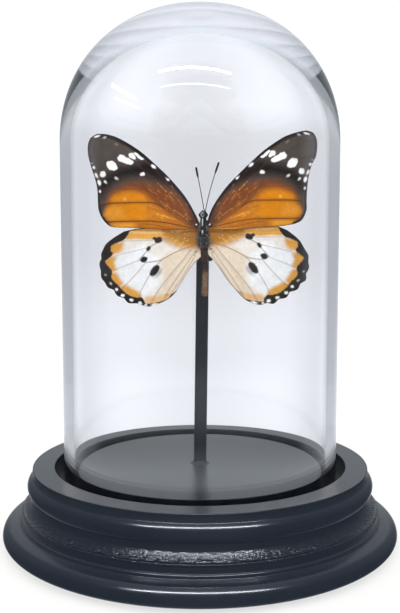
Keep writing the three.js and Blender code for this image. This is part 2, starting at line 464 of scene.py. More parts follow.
class Sketch(Nodes):
    """Builds one material's node tree step by step."""

    def __init__(self, name: str) -> None:
        """Start an empty material with one surface shader."""
        self.material = bpy.data.materials.new(name)
        self.material.use_nodes = True
        super().__init__(self.material.node_tree)
        self.tree.nodes.clear()
        self.surface = self.add("ShaderNodeBsdfPrincipled")
        self.output = self.add("ShaderNodeOutputMaterial", Surface=self.surface.outputs[0])

    def set(self, **values: object) -> None:
        """Fill the surface shader's inputs by name, underscores standing for spaces."""
        for name, value in values.items():
            self.plug(value, self.surface.inputs[name.replace("_", " ")])

    def place(self, stretch: Place = (1, 1, 1)) -> Socket:
        """Object coordinates, stretched by factors along X, Y and Z."""
        coordinates = self.add("ShaderNodeTexCoord").outputs["Object"]
        return self.add("ShaderNodeMapping", Vector=coordinates, Scale=stretch).outputs["Vector"]

    def noise(self, scale: float, detail: float = 3.0, stretch: Place = (1, 1, 1),
              roughness: float = 0.55) -> Socket:
        """A cloudy noise on object coordinates.

        Args:
            scale: Features per metre.
            detail: Octaves.
            stretch: Factors along the axes.
            roughness: Weight of the finer octaves.

        Returns:
            The noise's value socket.
        """
        node = self.add("ShaderNodeTexNoise", Vector=self.place(stretch), Scale=scale, Detail=detail,
                        Roughness=roughness)
        return node.outputs["Fac"]

    def attribute(self, name: str) -> Socket:
        """The value of a named attribute of the mesh."""
        node = self.add("ShaderNodeAttribute")
        node.attribute_name = name
        return node.outputs["Fac"]

    def blend(self, factor: Value, under: Paint, over: Paint, kind: str = "MIX") -> Socket:
        """Blend two colours.

        Args:
            factor: Share of the upper colour.
            under: The lower colour, a socket or red, green and blue.
            over: The upper colour.
            kind: The blend mode.

        Returns:
            The blended colour.
        """
        node = self.add("ShaderNodeMix")
        node.data_type = "RGBA"
        node.blend_type = kind
        self.plug(factor, node.inputs["Factor"])
        for name, colour in (("A", under), ("B", over)):
            socket = next(s for s in node.inputs if s.name == name and s.type == "RGBA")
            self.plug(colour if isinstance(colour, Socket) else (*colour, 1.0), socket)
        return next(s for s in node.outputs if s.type == "RGBA")

    def bump(self, height: Socket, strength: float, distance: float) -> None:
        """Raise the surface's fine relief by a height value.

        Args:
            height: The relief.
            strength: Share of its effect.
            distance: Height in metres of a step from 0 to 1.
        """
        node = self.add("ShaderNodeBump", Height=height, Strength=strength, Distance=distance)
        self.set(Normal=node.outputs["Normal"])


# ------------------------------------------------------------------ finishes
@dataclass(frozen=True)
class SatinPaint:
    """Black satin paint on turned wood, a little orange-peeled where the grain is open.

    Heights are in metres, grain sizes in features per metre. Above the flat height the paint is
    duller and of one colour. The grain opens along its rise and closes along its fall.
    """

    name: str = "black_paint"
    colour: Colour = (0.012, 0.017, 0.027)
    dust: Colour = (0.017, 0.023, 0.034)
    dust_most: float = 0.5
    dust_size: float = 55.0
    wear_size: float = 420.0
    gloss: Point = (0.16, 0.24)
    flat_colour: Colour = (0.012, 0.016, 0.024)
    flat_roughness: float = 0.30
    flat_height: Point = (0.0200, 0.0203)
    grain_rise: Point = (0.0090, 0.0100)
    grain_fall: Point = (0.0098, 0.0118)
    peel_size: float = 850.0
    peel_stretch: Place = (0.6, 1.0, 1.6)
    peel_height: float = 0.00075
    ior: float = 1.45

    def build(self) -> Finish:
        """Build the material."""
        sketch = Sketch(self.name)
        _, _, height = sketch.axes(sketch.place())
        flat = sketch.span(height, self.flat_height)
        wear = sketch.noise(self.wear_size, stretch=(1.0, 1.0, 2.0))
        gloss = sketch.span(wear, (0.3, 0.7), self.gloss)
        roughness = sketch.reckon("MAXIMUM", gloss, sketch.times(flat, self.flat_roughness))
        cloud = sketch.span(sketch.noise(self.dust_size, 4.0), (0.35, 0.75), (0.0, self.dust_most))
        colour = sketch.blend(flat, sketch.blend(cloud, self.colour, self.dust), self.flat_colour)
        sketch.set(Base_Color=colour, Roughness=roughness, IOR=self.ior)
        grain = sketch.times(sketch.span(height, self.grain_rise),
                             sketch.span(height, self.grain_fall, (1.0, 0.0)))
        peel = sketch.noise(self.peel_size, 3.0, self.peel_stretch, 0.6)
        sketch.bump(sketch.times(peel, grain), 1.0, self.peel_height)
        return sketch.material


@dataclass(frozen=True)
class ClearGlass:
    """Plain clear glass with a faint cool tint."""

    tint: Colour = (0.50, 0.53, 0.58)
    density: float = 10.0
    ior: float = 1.5

    def build(self) -> Finish:
        """Build the material."""
        sketch = Sketch("clear_glass")
        sketch.set(Base_Color=(1, 1, 1, 1), Roughness=0.0, IOR=self.ior, Transmission_Weight=1.0)
        tint = sketch.add("ShaderNodeVolumeAbsorption", Color=(*self.tint, 1.0), Density=self.density)
        sketch.plug(tint.outputs[0], sketch.output.inputs["Volume"])
        return sketch.material


class Layer(Enum):
    """Areas of wing scales, from the lowest layer to the topmost, one of them painted sheen."""

    CREAM = "cream"
    RUFOUS = "rufous"
    OCHRE = "ochre"
    AMBER = "amber"
    # Pale waxy sheen and fine glints painted onto the scales: painted highlights.
    GLOW = "glow"
    INK = "ink"
    VEIN = "vein"
    WHITE = "white"


@dataclass(frozen=True)
class WingScales:
    """Matt wing scales whose colours lie where the mesh's layer attributes say.

    Sizes are in features per metre. The layers' edges fray by the fringe, the veins' don't.
    """

    name: str
    ground: Colour
    colours: dict[Layer, Colour]
    grain_size: float = 5200.0
    grain_shade: Point = (-0.10, 0.10)
    grain_height: float = 0.00003
    mottle_size: float = 900.0
    mottle_shade: Point = (0.92, 1.06)
    fringe_size: float = 2600.0
    fringe: float = 0.5

    def build(self) -> Finish:
        """Build the material."""
        sketch = Sketch(self.name)
        fray = sketch.noise(self.fringe_size)
        colour: Paint = self.ground
        for layer in Layer:
            value = sketch.attribute(layer.value)
            if layer is not Layer.VEIN:
                fringe = sketch.times(sketch.reckon("SUBTRACT", fray, 0.5), self.fringe)
                # Four times value (1 - value): the fringe only moves a layer's soft edge.
                soft = sketch.times(sketch.times(value, sketch.reckon("SUBTRACT", value, 1.0)), -4.0)
                value = sketch.reckon("ADD", value, sketch.times(fringe, soft), clamp=True)
            colour = sketch.blend(value, colour, self.colours[layer])
        grain = sketch.noise(self.grain_size, 2.0)
        mottle = sketch.noise(self.mottle_size, 4.0)
        shade = sketch.reckon("ADD", sketch.span(grain, (0.3, 0.7), self.grain_shade),
                              sketch.span(mottle, (0.3, 0.7), self.mottle_shade))
        sketch.bump(grain, 0.5, self.grain_height)
        sketch.set(Base_Color=sketch.blend(1.0, colour, shade, "MULTIPLY"), Roughness=0.7,
                   Specular_IOR_Level=0.06)
        return sketch.material


# In each finish below, the colour of the sheen layer is a painted highlight.
FOREWING_ABOVE = WingScales("forewing_above", (0.074, 0.058, 0.049), {
    Layer.CREAM: (0.012, 0.008, 0.008), Layer.RUFOUS: (0.165, 0.046, 0.014),
    Layer.OCHRE: (0.400, 0.130, 0.012), Layer.AMBER: (0.600, 0.205, 0.004),
    Layer.GLOW: (0.760, 0.360, 0.060), Layer.INK: (0.016, 0.012, 0.012),
    Layer.VEIN: (0.110, 0.036, 0.008), Layer.WHITE: (0.95, 0.94, 0.94),
})
HINDWING_ABOVE = WingScales("hindwing_above", (0.87, 0.88, 0.90), {
    Layer.CREAM: (0.72, 0.58, 0.42), Layer.RUFOUS: (0.22, 0.075, 0.012),
    Layer.OCHRE: (0.37, 0.150, 0.018), Layer.AMBER: (0.69, 0.345, 0.070),
    Layer.GLOW: (0.86, 0.60, 0.32), Layer.INK: (0.028, 0.024, 0.023),
    Layer.VEIN: (0.24, 0.16, 0.11), Layer.WHITE: (0.95, 0.95, 0.95),
})
FOREWING_BELOW = WingScales("forewing_below", (0.30, 0.21, 0.13), {
    Layer.CREAM: (0.10, 0.07, 0.05), Layer.RUFOUS: (0.58, 0.24, 0.06),
    Layer.OCHRE: (0.58, 0.25, 0.05), Layer.AMBER: (0.72, 0.34, 0.07),
    Layer.GLOW: (0.82, 0.48, 0.16), Layer.INK: (0.03, 0.026, 0.024),
    Layer.VEIN: (0.05, 0.04, 0.03), Layer.WHITE: (0.93, 0.92, 0.90),
})
HINDWING_BELOW = WingScales("hindwing_below", (0.84, 0.82, 0.78), {
    Layer.CREAM: (0.80, 0.68, 0.50), Layer.RUFOUS: (0.60, 0.33, 0.12),
    Layer.OCHRE: (0.66, 0.38, 0.13), Layer.AMBER: (0.78, 0.50, 0.20),
    Layer.GLOW: (0.90, 0.72, 0.46), Layer.INK: (0.03, 0.026, 0.025),
    Layer.VEIN: (0.07, 0.06, 0.05), Layer.WHITE: (0.93, 0.92, 0.91),
})


@dataclass(frozen=True)
class InsectSkin:
    """Dark body skin that turns tan towards the abdomen's end, with white specks on the front and a painted
    highlight on the head.
    """

    name: str = "insect_skin"
    dark: Colour = (0.003, 0.003, 0.004)
    grey: Colour = (0.028, 0.029, 0.030)
    brown: Colour = (0.085, 0.046, 0.034)
    tan: Colour = (0.270, 0.160, 0.090)
    white: Colour = (0.88, 0.88, 0.90)
    mottle_size: float = 1500.0
    patch_size: float = 2600.0
    grain_size: float = 4200.0
    grain_height: float = 0.00006

    def build(self) -> Finish:
        """Build the material."""
        sketch = Sketch(self.name)
        mottle = sketch.span(sketch.noise(self.mottle_size, 4.0), (0.45, 0.7), (0.0, 0.8))
        colour = sketch.blend(mottle, self.dark, self.grey)
        colour = sketch.blend(sketch.attribute("brown"), colour, self.brown)
        patchy = sketch.span(sketch.noise(self.patch_size), (0.3, 0.7), (0.35, 1.0))
        colour = sketch.blend(sketch.times(sketch.attribute("tan"), patchy), colour, self.tan)
        # White specks and lines, and the painted highlight on the head and left eye.
        colour = sketch.blend(sketch.attribute("speck"), colour, self.white)
        sketch.bump(sketch.noise(self.grain_size), 0.6, self.grain_height)
        sketch.set(Base_Color=colour, Roughness=0.5, Specular_IOR_Level=0.12)
        return sketch.material


@dataclass(frozen=True)
class FineHair:
    """Short grey-brown hairs and scales."""

    name: str = "fine_hair"
    dark: Colour = (0.010, 0.009, 0.008)
    pale: Colour = (0.52, 0.49, 0.44)
    patch_size: float = 2400.0

    def build(self) -> Finish:
        """Build the material."""
        sketch = Sketch(self.name)
        patch = sketch.span(sketch.noise(self.patch_size, 2.0), (0.46, 0.60))
        sketch.set(Base_Color=sketch.blend(patch, self.dark, self.pale), Roughness=0.6,
                   Specular_IOR_Level=0.3)
        return sketch.material


def dress(piece: Piece, slot: str, *materials: Finish) -> None:
    """Give a piece its materials and its body, and log its face count.

    Args:
        piece: The finished piece.
        slot: A material slot's name; not used.
        materials: The materials, in the order of the faces' material indices.
    """
    piece.data.materials.clear()
    for material in materials:
        piece.data.materials.append(material)
    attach(piece, "root")
    LOG.info("%s: %d faces", piece.name, len(piece.data.polygons))


# ------------------------------------------------------------------ base
@dataclass
class Base:
    """The turned wooden base, in millimetres and degrees.

    From below: the foot with its rounded edge, the quirk in its shoulder, a small roll, a fillet up
    to the step's edge, the hollow scotia, the bead, the flat ring, the glass's groove and the disc.
    """

    under_radius: float = 40.0
    foot_radius: float = 55.0
    foot_round: float = 2.97
    foot_spread: float = 5.2
    shoulder_tilt: float = 14.0
    shoulder_height: float = 6.44
    quirk_ease: float = 0.25
    roll_centre: Point = (49.85, 6.95)
    roll_round: float = 0.47
    roll_end: float = 85.0
    step_radius: float = 49.75
    step_height: float = 9.75
    step_ease: float = 0.3
    fillet_ends: Point = (0.1, 0.15)
    waist_inset: float = 0.45
    waist_pull: Point = (47.6, 9.45)
    neck: Point = (1.13, 2.45)
    bead_radius: float = 2.7
    bead_centre: Point = (45.47, 16.0)
    bead_sweep: Point = (-65.0, 63.0)
    fascia_radius: float = 46.7
    ring_height: float = 20.7
    groove_outer: float = 40.7
    groove_inner: float = 34.2
    groove_floor: float = 14.5
    disc_height: float = 20.35
    top_ease: float = 0.22
    sides: int = 360

    def foot(self) -> list[Point]:
        """The foot's edge, from the underside to the shoulder."""
        centre = (self.foot_radius - self.foot_round, self.foot_round)
        under = [(self.foot_radius - self.foot_spread * (1 - math.cos(a)),
                  self.foot_round * (1 - math.sin(a))) for a in np.linspace(math.pi / 2, 0.0, 19)[:-1]]
        return [*under, *arc(centre, self.foot_round, 0, 90 - self.shoulder_tilt, 16)]

    def scotia(self) -> list[Point]:
        """The hollow curve between the step and the bead."""
        start = np.array([self.step_radius - self.waist_inset, self.step_height])
        end = np.array([self.bead_centre[0] + self.neck[0], self.bead_centre[1] - self.neck[1]])
        return [tuple(p) for p in bent(start, np.array(self.waist_pull), end, 25)]

    def profile(self) -> list[Point]:
        """The whole section, from the axis below to the axis above."""
        foot, scotia = self.foot(), self.scotia()
        roll = arc(self.roll_centre, self.roll_round, 0, self.roll_end, 10)
        quirk = eased([foot[-1], (roll[0][0], self.shoulder_height), roll[0]], self.quirk_ease)
        fillet = eased([
            roll[-1], (self.step_radius, roll[-1][1] + self.fillet_ends[0]),
            (self.step_radius, self.step_height - self.fillet_ends[1]), scotia[0],
        ], self.step_ease)
        bead = arc(self.bead_centre, self.bead_radius, *self.bead_sweep, 30)
        top = eased([
            bead[-1], (self.fascia_radius, self.ring_height), (self.groove_outer, self.ring_height),
            (self.groove_outer, self.groove_floor), (self.groove_inner, self.groove_floor),
            (self.groove_inner, self.disc_height), (0.0, self.disc_height),
        ], self.top_ease)
        return [(0.0, 0.0), (self.under_radius, 0.0), *foot, *quirk[1:], *roll[1:], *fillet[1:-1],
                *scotia, *bead, *top[1:]]

    def build(self, paint: Finish) -> Piece:
        """Turn the base and paint it.

        Args:
            paint: The base's finish.

        Returns:
            The finished base.
        """
        piece = turned_piece("turned_base", self.profile(), self.sides)
        dress(piece, "black_wood", paint)
        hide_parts("base")
        return piece


# ------------------------------------------------------------------ dome
@dataclass
class GlassDome:
    """The blown dome that stands in the base's groove, in millimetres."""

    outer_radius: float = 38.1
    wall: float = 2.8
    foot_height: float = 14.55
    spring_height: float = 108.7
    top_height: float = 146.1
    crown_wall: float = 5.9
    squareness: float = 2.12
    crown_steps: int = 60
    wall_steps: int = 24
    rim_steps: int = 16
    sides: int = 256

    def crown(self, radius: float, rise: float) -> list[Point]:
        """The crown's curve from the straight wall to the axis.

        Args:
            radius: Radius of the wall.
            rise: Height of the crown.

        Returns:
            The curve's points, the last on the axis.
        """
        power = 2 / self.squareness
        angles = np.linspace(0.0, math.pi / 2, self.crown_steps + 1)[:-1]
        curve = [(radius * math.cos(a)**power, self.spring_height + rise * math.sin(a)**power)
                 for a in angles]
        return [*curve, (0.0, self.spring_height + rise)]

    def profile(self) -> list[Point]:
        """The whole section, from the inner crown to the outer one."""
        inner = self.outer_radius - self.wall
        rise = self.top_height - self.spring_height
        half = self.wall / 2
        rim = arc((self.outer_radius - half, self.foot_height + half), half, -180, 0, self.rim_steps)
        climb = np.linspace(self.foot_height + half, self.spring_height, self.wall_steps)[1:-1]
        inside = [(inner, z) for z in climb[::-1]]
        outside = [(self.outer_radius, z) for z in climb]
        ceiling = self.crown(inner, rise - self.crown_wall)
        roof = self.crown(self.outer_radius, rise)
        return [*ceiling[::-1], *inside, *rim, *outside, *roof]

    def build(self, glass: Finish) -> Piece:
        """Blow the dome.

        Args:
            glass: The dome's finish.

        Returns:
            The finished dome.
        """
        piece = turned_piece("blown_dome", self.profile(), self.sides)
        dress(piece, "clear_glass", glass)
        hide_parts("glass_dome")
        return piece


# ------------------------------------------------------------------ wings
class Side(Enum):
    """The butterfly's sides, seen from in front of its upper side."""

    LEFT = -1
    RIGHT = 1


@dataclass(frozen=True)
class Spot:
    """An oval mark on a wing: its place, its size in millimetres and its turn in degrees.

    Its edge follows the pattern's wobble by the fray's share.
    """

    out: float
    up: float
    length: float
    width: float
    turn: float = 0.0
    strength: float = 1.0
    blur: float = 0.14
    squareness: float = 2.4
    fray: float = 0.8

    def cover(self, places: np.ndarray, wobble: np.ndarray) -> np.ndarray:
        """How much of each place the mark covers, its edge moved a little by a wobble."""
        turn, power = math.radians(self.turn), self.squareness
        x, y = (places - np.array([self.out, self.up])).T
        along = (x * math.cos(turn) + y * math.sin(turn)) / (self.length / 2)
        across = (y * math.cos(turn) - x * math.sin(turn)) / (self.width / 2)
        reach = (np.abs(along)**power + np.abs(across)**power)**(1 / power)
        edge = (reach - 1) * min(self.length, self.width) / 2 + self.fray * wobble
        return self.strength * ramp(self.blur, -self.blur, edge)


@dataclass(frozen=True)
class Area:
    """A coloured area of a wing with a soft edge."""

    layer: Layer
    outline: tuple[Point, ...]
    blur: float
    strength: float = 1.0

    def cover(self, places: np.ndarray, wobble: np.ndarray) -> np.ndarray:
        """How much of each place the area covers, its edge moved a little by a wobble."""
        outline = smooth_path([*self.outline, self.outline[0]], 5)
        return self.strength * ramp(-self.blur, self.blur, depth_in(outline, places) + wobble)


@dataclass(frozen=True)
class Vein:
    """A vein: the points it passes and the width of its dark line."""

    path: tuple[Point, ...]
    width: float = 0.22
    strength: float = 0.6

    def gap(self, places: np.ndarray, steps: int) -> np.ndarray:
        """The distance of each place from the vein, drawn with some steps between its points."""
        return distance_to(smooth_path(list(self.path), steps), places)[0]

    def cover(self, places: np.ndarray) -> np.ndarray:
        """How much of each place the vein's line covers."""
        return self.strength * ramp(self.width, 0.25 * self.width, self.gap(places, 6))


@dataclass(frozen=True)
class Setting:
    """How the pattern, drawn for the right wing, lies on a wing as it was set."""

    turn: float = 0.0
    scale: float = 1.0
    shift: Point = (0.0, 0.0)

    def undo(self, places: np.ndarray) -> np.ndarray:
        """Bring places on the wing back to the pattern's own drawing."""
        angle = math.radians(-self.turn)
        turned = np.array([[math.cos(angle), math.sin(angle)], [-math.sin(angle), math.cos(angle)]])
        return (places - np.array(self.shift)) @ turned / self.scale


@dataclass(frozen=True)
class PaintedGlints:
    """Painted highlights: fine pale glint streaks that run outward from the root over part of a wing.

    Where a field is a pair of numbers, the second is added in full at the end of the random range.
    """

    count: int
    out_range: Point
    up_range: Point
    stretch: float
    root: Point = (1.0, 2.5)
    shortest: float = 0.5
    width: Point = (0.15, 0.05)
    strength: Point = (0.2, 0.45)
    lean_range: float = 24.0
    blur: float = 0.08
    seed: int = 5

    def spots(self) -> list[Spot]:
        """Scatter the streaks, the same way each time."""
        chance = np.random.default_rng(self.seed)
        result = []
        for out, up, size, turn, bright in chance.random((self.count, 5)):
            place = (np.interp(out, (0, 1), self.out_range), np.interp(up, (0, 1), self.up_range))
            lean = math.degrees(math.atan2(place[1] - self.root[1], place[0] - self.root[0]))
            result.append(Spot(
                *place, self.shortest + self.stretch * size**2, self.width[0] + self.width[1] * size,
                turn=lean + self.lean_range * (turn - 0.5),
                strength=self.strength[0] + self.strength[1] * bright**2, blur=self.blur,
            ))
        return result


@dataclass(frozen=True)
class Pattern:
    """Everything that is drawn on one kind of wing."""

    areas: tuple[Area, ...]
    veins: tuple[Vein, ...]
    marks: tuple[tuple[Layer, Spot], ...]
    shapes: tuple[tuple[Point, ...], ...]
    specks: PaintedGlints
    margin_ink: float
    costa_ink: float
    shape_blur: float = 0.1
    wobbles: tuple[Wave, ...] = (Wave(0.10, 1.1, 0.4), Wave(0.06, 0.45, 2.2))

    def layers(self, places: np.ndarray) -> dict[Layer, np.ndarray]:
        """Work out every layer's coverage.

        Args:
            places: Positions on the pattern's drawing, in millimetres.

        Returns:
            The coverage, 0 to 1, of each layer at each place.
        """
        wobble = sum(wave.over(places) for wave in self.wobbles)
        areas = [*self.areas, *(Area(Layer.WHITE, shape, self.shape_blur) for shape in self.shapes)]
        # The glints are laid on the layer of painted sheen.
        marks = [*self.marks, *((Layer.GLOW, glint) for glint in self.specks.spots())]
        cover = {layer: np.zeros(len(places)) for layer in Layer}
        for layer, value in (
            *((area.layer, area.cover(places, wobble)) for area in areas),
            *((layer, spot.cover(places, wobble)) for layer, spot in marks),
            *((Layer.VEIN, vein.cover(places)) for vein in self.veins),
        ):
            cover[layer] = np.maximum(cover[layer], value)
        return cover


FOREWING_PATTERN = Pattern(
    areas=(
        Area(Layer.CREAM, ((1.3, 4.8), (5.9, 11.6), (9.4, 14.2), (12.8, 15.8), (15.2, 16.6), (19.0, 16.5),
                           (22.5, 15.5), (24.6, 14.0), (26.3, 12.0), (27.6, 12.8), (26.5, 16.0),
                           (23.0, 18.6), (18.0, 20.0), (13.6, 21.0), (8.6, 17.4), (4.0, 12.8),
                           (0.8, 6.6)), 1.8),
        Area(Layer.RUFOUS, ((0.3, 3.2), (3.2, 7.9), (5.9, 11.0), (9.1, 13.3), (12.4, 14.5), (15.6, 15.1),
                            (19.1, 15.2), (22.0, 14.1), (24.2, 12.4), (24.9, 11.0), (24.7, 9.9),
                            (23.2, 4.9), (17.8, 1.0), (0.2, 1.0)), 1.5),
        Area(Layer.OCHRE, ((4.6, 4.2), (8.4, 6.8), (11.8, 9.3), (13.4, 11.0), (15.0, 12.4), (18.3, 13.6),
                           (21.6, 13.2), (24.2, 11.6), (25.6, 8.4), (25.6, 6.0), (23.7, 3.4), (17.8, 2.0),
                           (8.4, 1.6), (1.2, 1.6), (1.6, 2.6)), 1.2),
        Area(Layer.AMBER, ((14.8, 10.2), (15.6, 11.6), (17.6, 12.4), (20.4, 12.5), (22.4, 11.9),
                           (23.8, 11.2), (23.9, 10.6), (22.9, 10.2)), 0.8),
        Area(Layer.AMBER, ((14.4, 6.0), (14.6, 8.2), (15.6, 9.4), (17.6, 9.6), (23.1, 9.5), (25.0, 8.7),
                           (26.0, 7.5), (26.1, 6.6), (25.3, 5.7), (23.7, 5.3), (17.8, 5.3),
                           (15.4, 5.2)), 0.8),
        Area(Layer.AMBER, ((10.6, 5.6), (12.0, 7.0), (15.4, 8.4), (19.0, 8.0), (19.0, 6.0),
                           (14.0, 5.0)), 2.4, 0.55),
        Area(Layer.AMBER, ((17.4, 3.2), (18.0, 4.6), (23.2, 4.6), (24.3, 4.2), (23.5, 3.5),
                           (20.5, 3.0)), 0.7),
        Area(Layer.INK, ((0.2, 2.4), (0.2, 5.2), (2.2, 7.0), (3.8, 5.6), (3.6, 3.4),
                         (2.4, 2.4)), 1.7, 0.55),
        # Painted sheen: soft pale waxy highlights on the amber lobes.
        Area(Layer.GLOW, ((20.8, 6.0), (22.0, 8.6), (24.6, 8.4), (25.6, 7.2), (25.0, 6.2),
                          (23.0, 5.7)), 1.4, 0.42),
        Area(Layer.GLOW, ((18.6, 3.2), (19.0, 4.4), (22.8, 4.4), (23.8, 4.0), (22.8, 3.5)), 0.7, 0.6),
    ),
    veins=(
        Vein(((1.9, 4.9), (4.8, 9.7), (9.1, 14.8), (13.4, 19.6), (17.7, 23.3), (21.9, 26.2)), 0.24, 0.25),
        Vein(((1.9, 4.3), (5.9, 9.2), (10.5, 14.0), (14.5, 17.7), (16.6, 19.8)), 0.24, 0.3),
        Vein(((1.9, 3.4), (5.7, 5.1), (9.7, 8.0), (12.9, 10.8), (14.8, 13.4), (16.1, 15.8)), 0.26, 0.45),
        Vein(((16.1, 18.8), (21.7, 22.7), (26.4, 25.4), (29.6, 25.9)), 0.2, 0.15),
        Vein(((16.4, 17.4), (21.7, 19.8), (26.2, 21.4), (29.4, 22.4)), 0.2, 0.15),
        Vein(((16.1, 15.6), (20.9, 16.4), (25.2, 17.1), (28.1, 17.9)), 0.2, 0.2),
        Vein(((14.5, 13.2), (18.3, 13.6), (23.1, 13.6), (27.4, 13.7)), 0.24, 0.4),
        Vein(((9.7, 8.0), (12.9, 9.7), (17.2, 9.9), (23.7, 9.9), (27.4, 9.4)), 0.27, 0.9),
        Vein(((2.2, 2.7), (7.0, 3.8), (12.4, 4.8), (17.8, 5.0), (24.0, 5.0), (26.7, 5.0)), 0.26, 0.9),
        Vein(((2.0, 2.2), (8.0, 2.9), (13.0, 3.9), (16.0, 4.3)), 0.18, 0.5),
    ),
    marks=(
        (Layer.WHITE, Spot(12.6, 19.3, 1.4, 0.7, 42)),
        (Layer.WHITE, Spot(15.6, 17.4, 1.2, 0.85, -15)),
        (Layer.WHITE, Spot(9.0, 15.9, 1.0, 0.5, 40, 0.85)),
        (Layer.WHITE, Spot(22.5, 16.4, 1.0, 0.65, 20, 0.7)),
        (Layer.WHITE, Spot(26.1, 17.6, 1.5, 1.55)),
        (Layer.WHITE, Spot(27.8, 17.3, 1.3, 0.62, 65)),
        (Layer.WHITE, Spot(28.4, 19.4, 0.8, 0.55, 60)),
        (Layer.WHITE, Spot(28.9, 20.5, 0.45, 0.4, 0, 0.4)),
        (Layer.WHITE, Spot(25.5, 15.5, 0.95, 0.55, 55, 0.9)),
        (Layer.WHITE, Spot(27.1, 15.4, 1.35, 0.85, 75)),
        (Layer.WHITE, Spot(27.0, 13.1, 0.7, 0.5, 80, 0.9)),
        (Layer.WHITE, Spot(27.2, 27.6, 1.5, 0.5, -17)),
        (Layer.WHITE, Spot(25.3, 27.2, 0.85, 0.5, -35, 0.6)),
        (Layer.WHITE, Spot(22.2, 25.4, 0.8, 0.5, 30, 0.15, 0.3)),
        # Painted highlights: thin pale glint lines and a dot, the last line along the inner edge.
        (Layer.GLOW, Spot(9.8, 6.0, 4.2, 0.34, 17, 0.75, 0.18)),
        (Layer.GLOW, Spot(20.5, 10.9, 0.8, 0.75, 0, 0.95, 0.25)),
        (Layer.GLOW, Spot(6.2, 2.25, 8.5, 0.34, 1, 0.5, 0.15)),
    ),
    shapes=(
        ((18.0, 20.8), (18.8, 21.4), (19.8, 21.9), (20.6, 22.5), (21.4, 22.6), (22.0, 21.9), (22.0, 21.3),
         (21.5, 20.9), (20.7, 20.6), (19.7, 20.2), (18.9, 20.0), (18.1, 20.2)),
        ((17.4, 22.3), (18.0, 22.9), (18.8, 23.0), (19.1, 22.5), (18.9, 21.9), (18.1, 21.5), (17.6, 21.3),
         (17.3, 21.6)),
        ((15.0, 21.3), (15.6, 21.8), (16.5, 22.6), (17.2, 23.1), (17.6, 23.1), (17.6, 22.7), (17.0, 22.1),
         (16.4, 21.5), (15.6, 21.2)),
        ((22.7, 20.5), (23.3, 21.0), (24.4, 21.0), (25.0, 20.6), (24.9, 19.7), (24.5, 19.0), (23.8, 18.6),
         (22.7, 18.6), (22.2, 19.1), (22.4, 19.9)),
    ),
    # Painted highlights: pale glint streaks over the forewing's inner field.
    specks=PaintedGlints(60, (3.5, 14.5), (2.8, 14.5), 2.6),
    margin_ink=0.85,
    costa_ink=1.35,
)

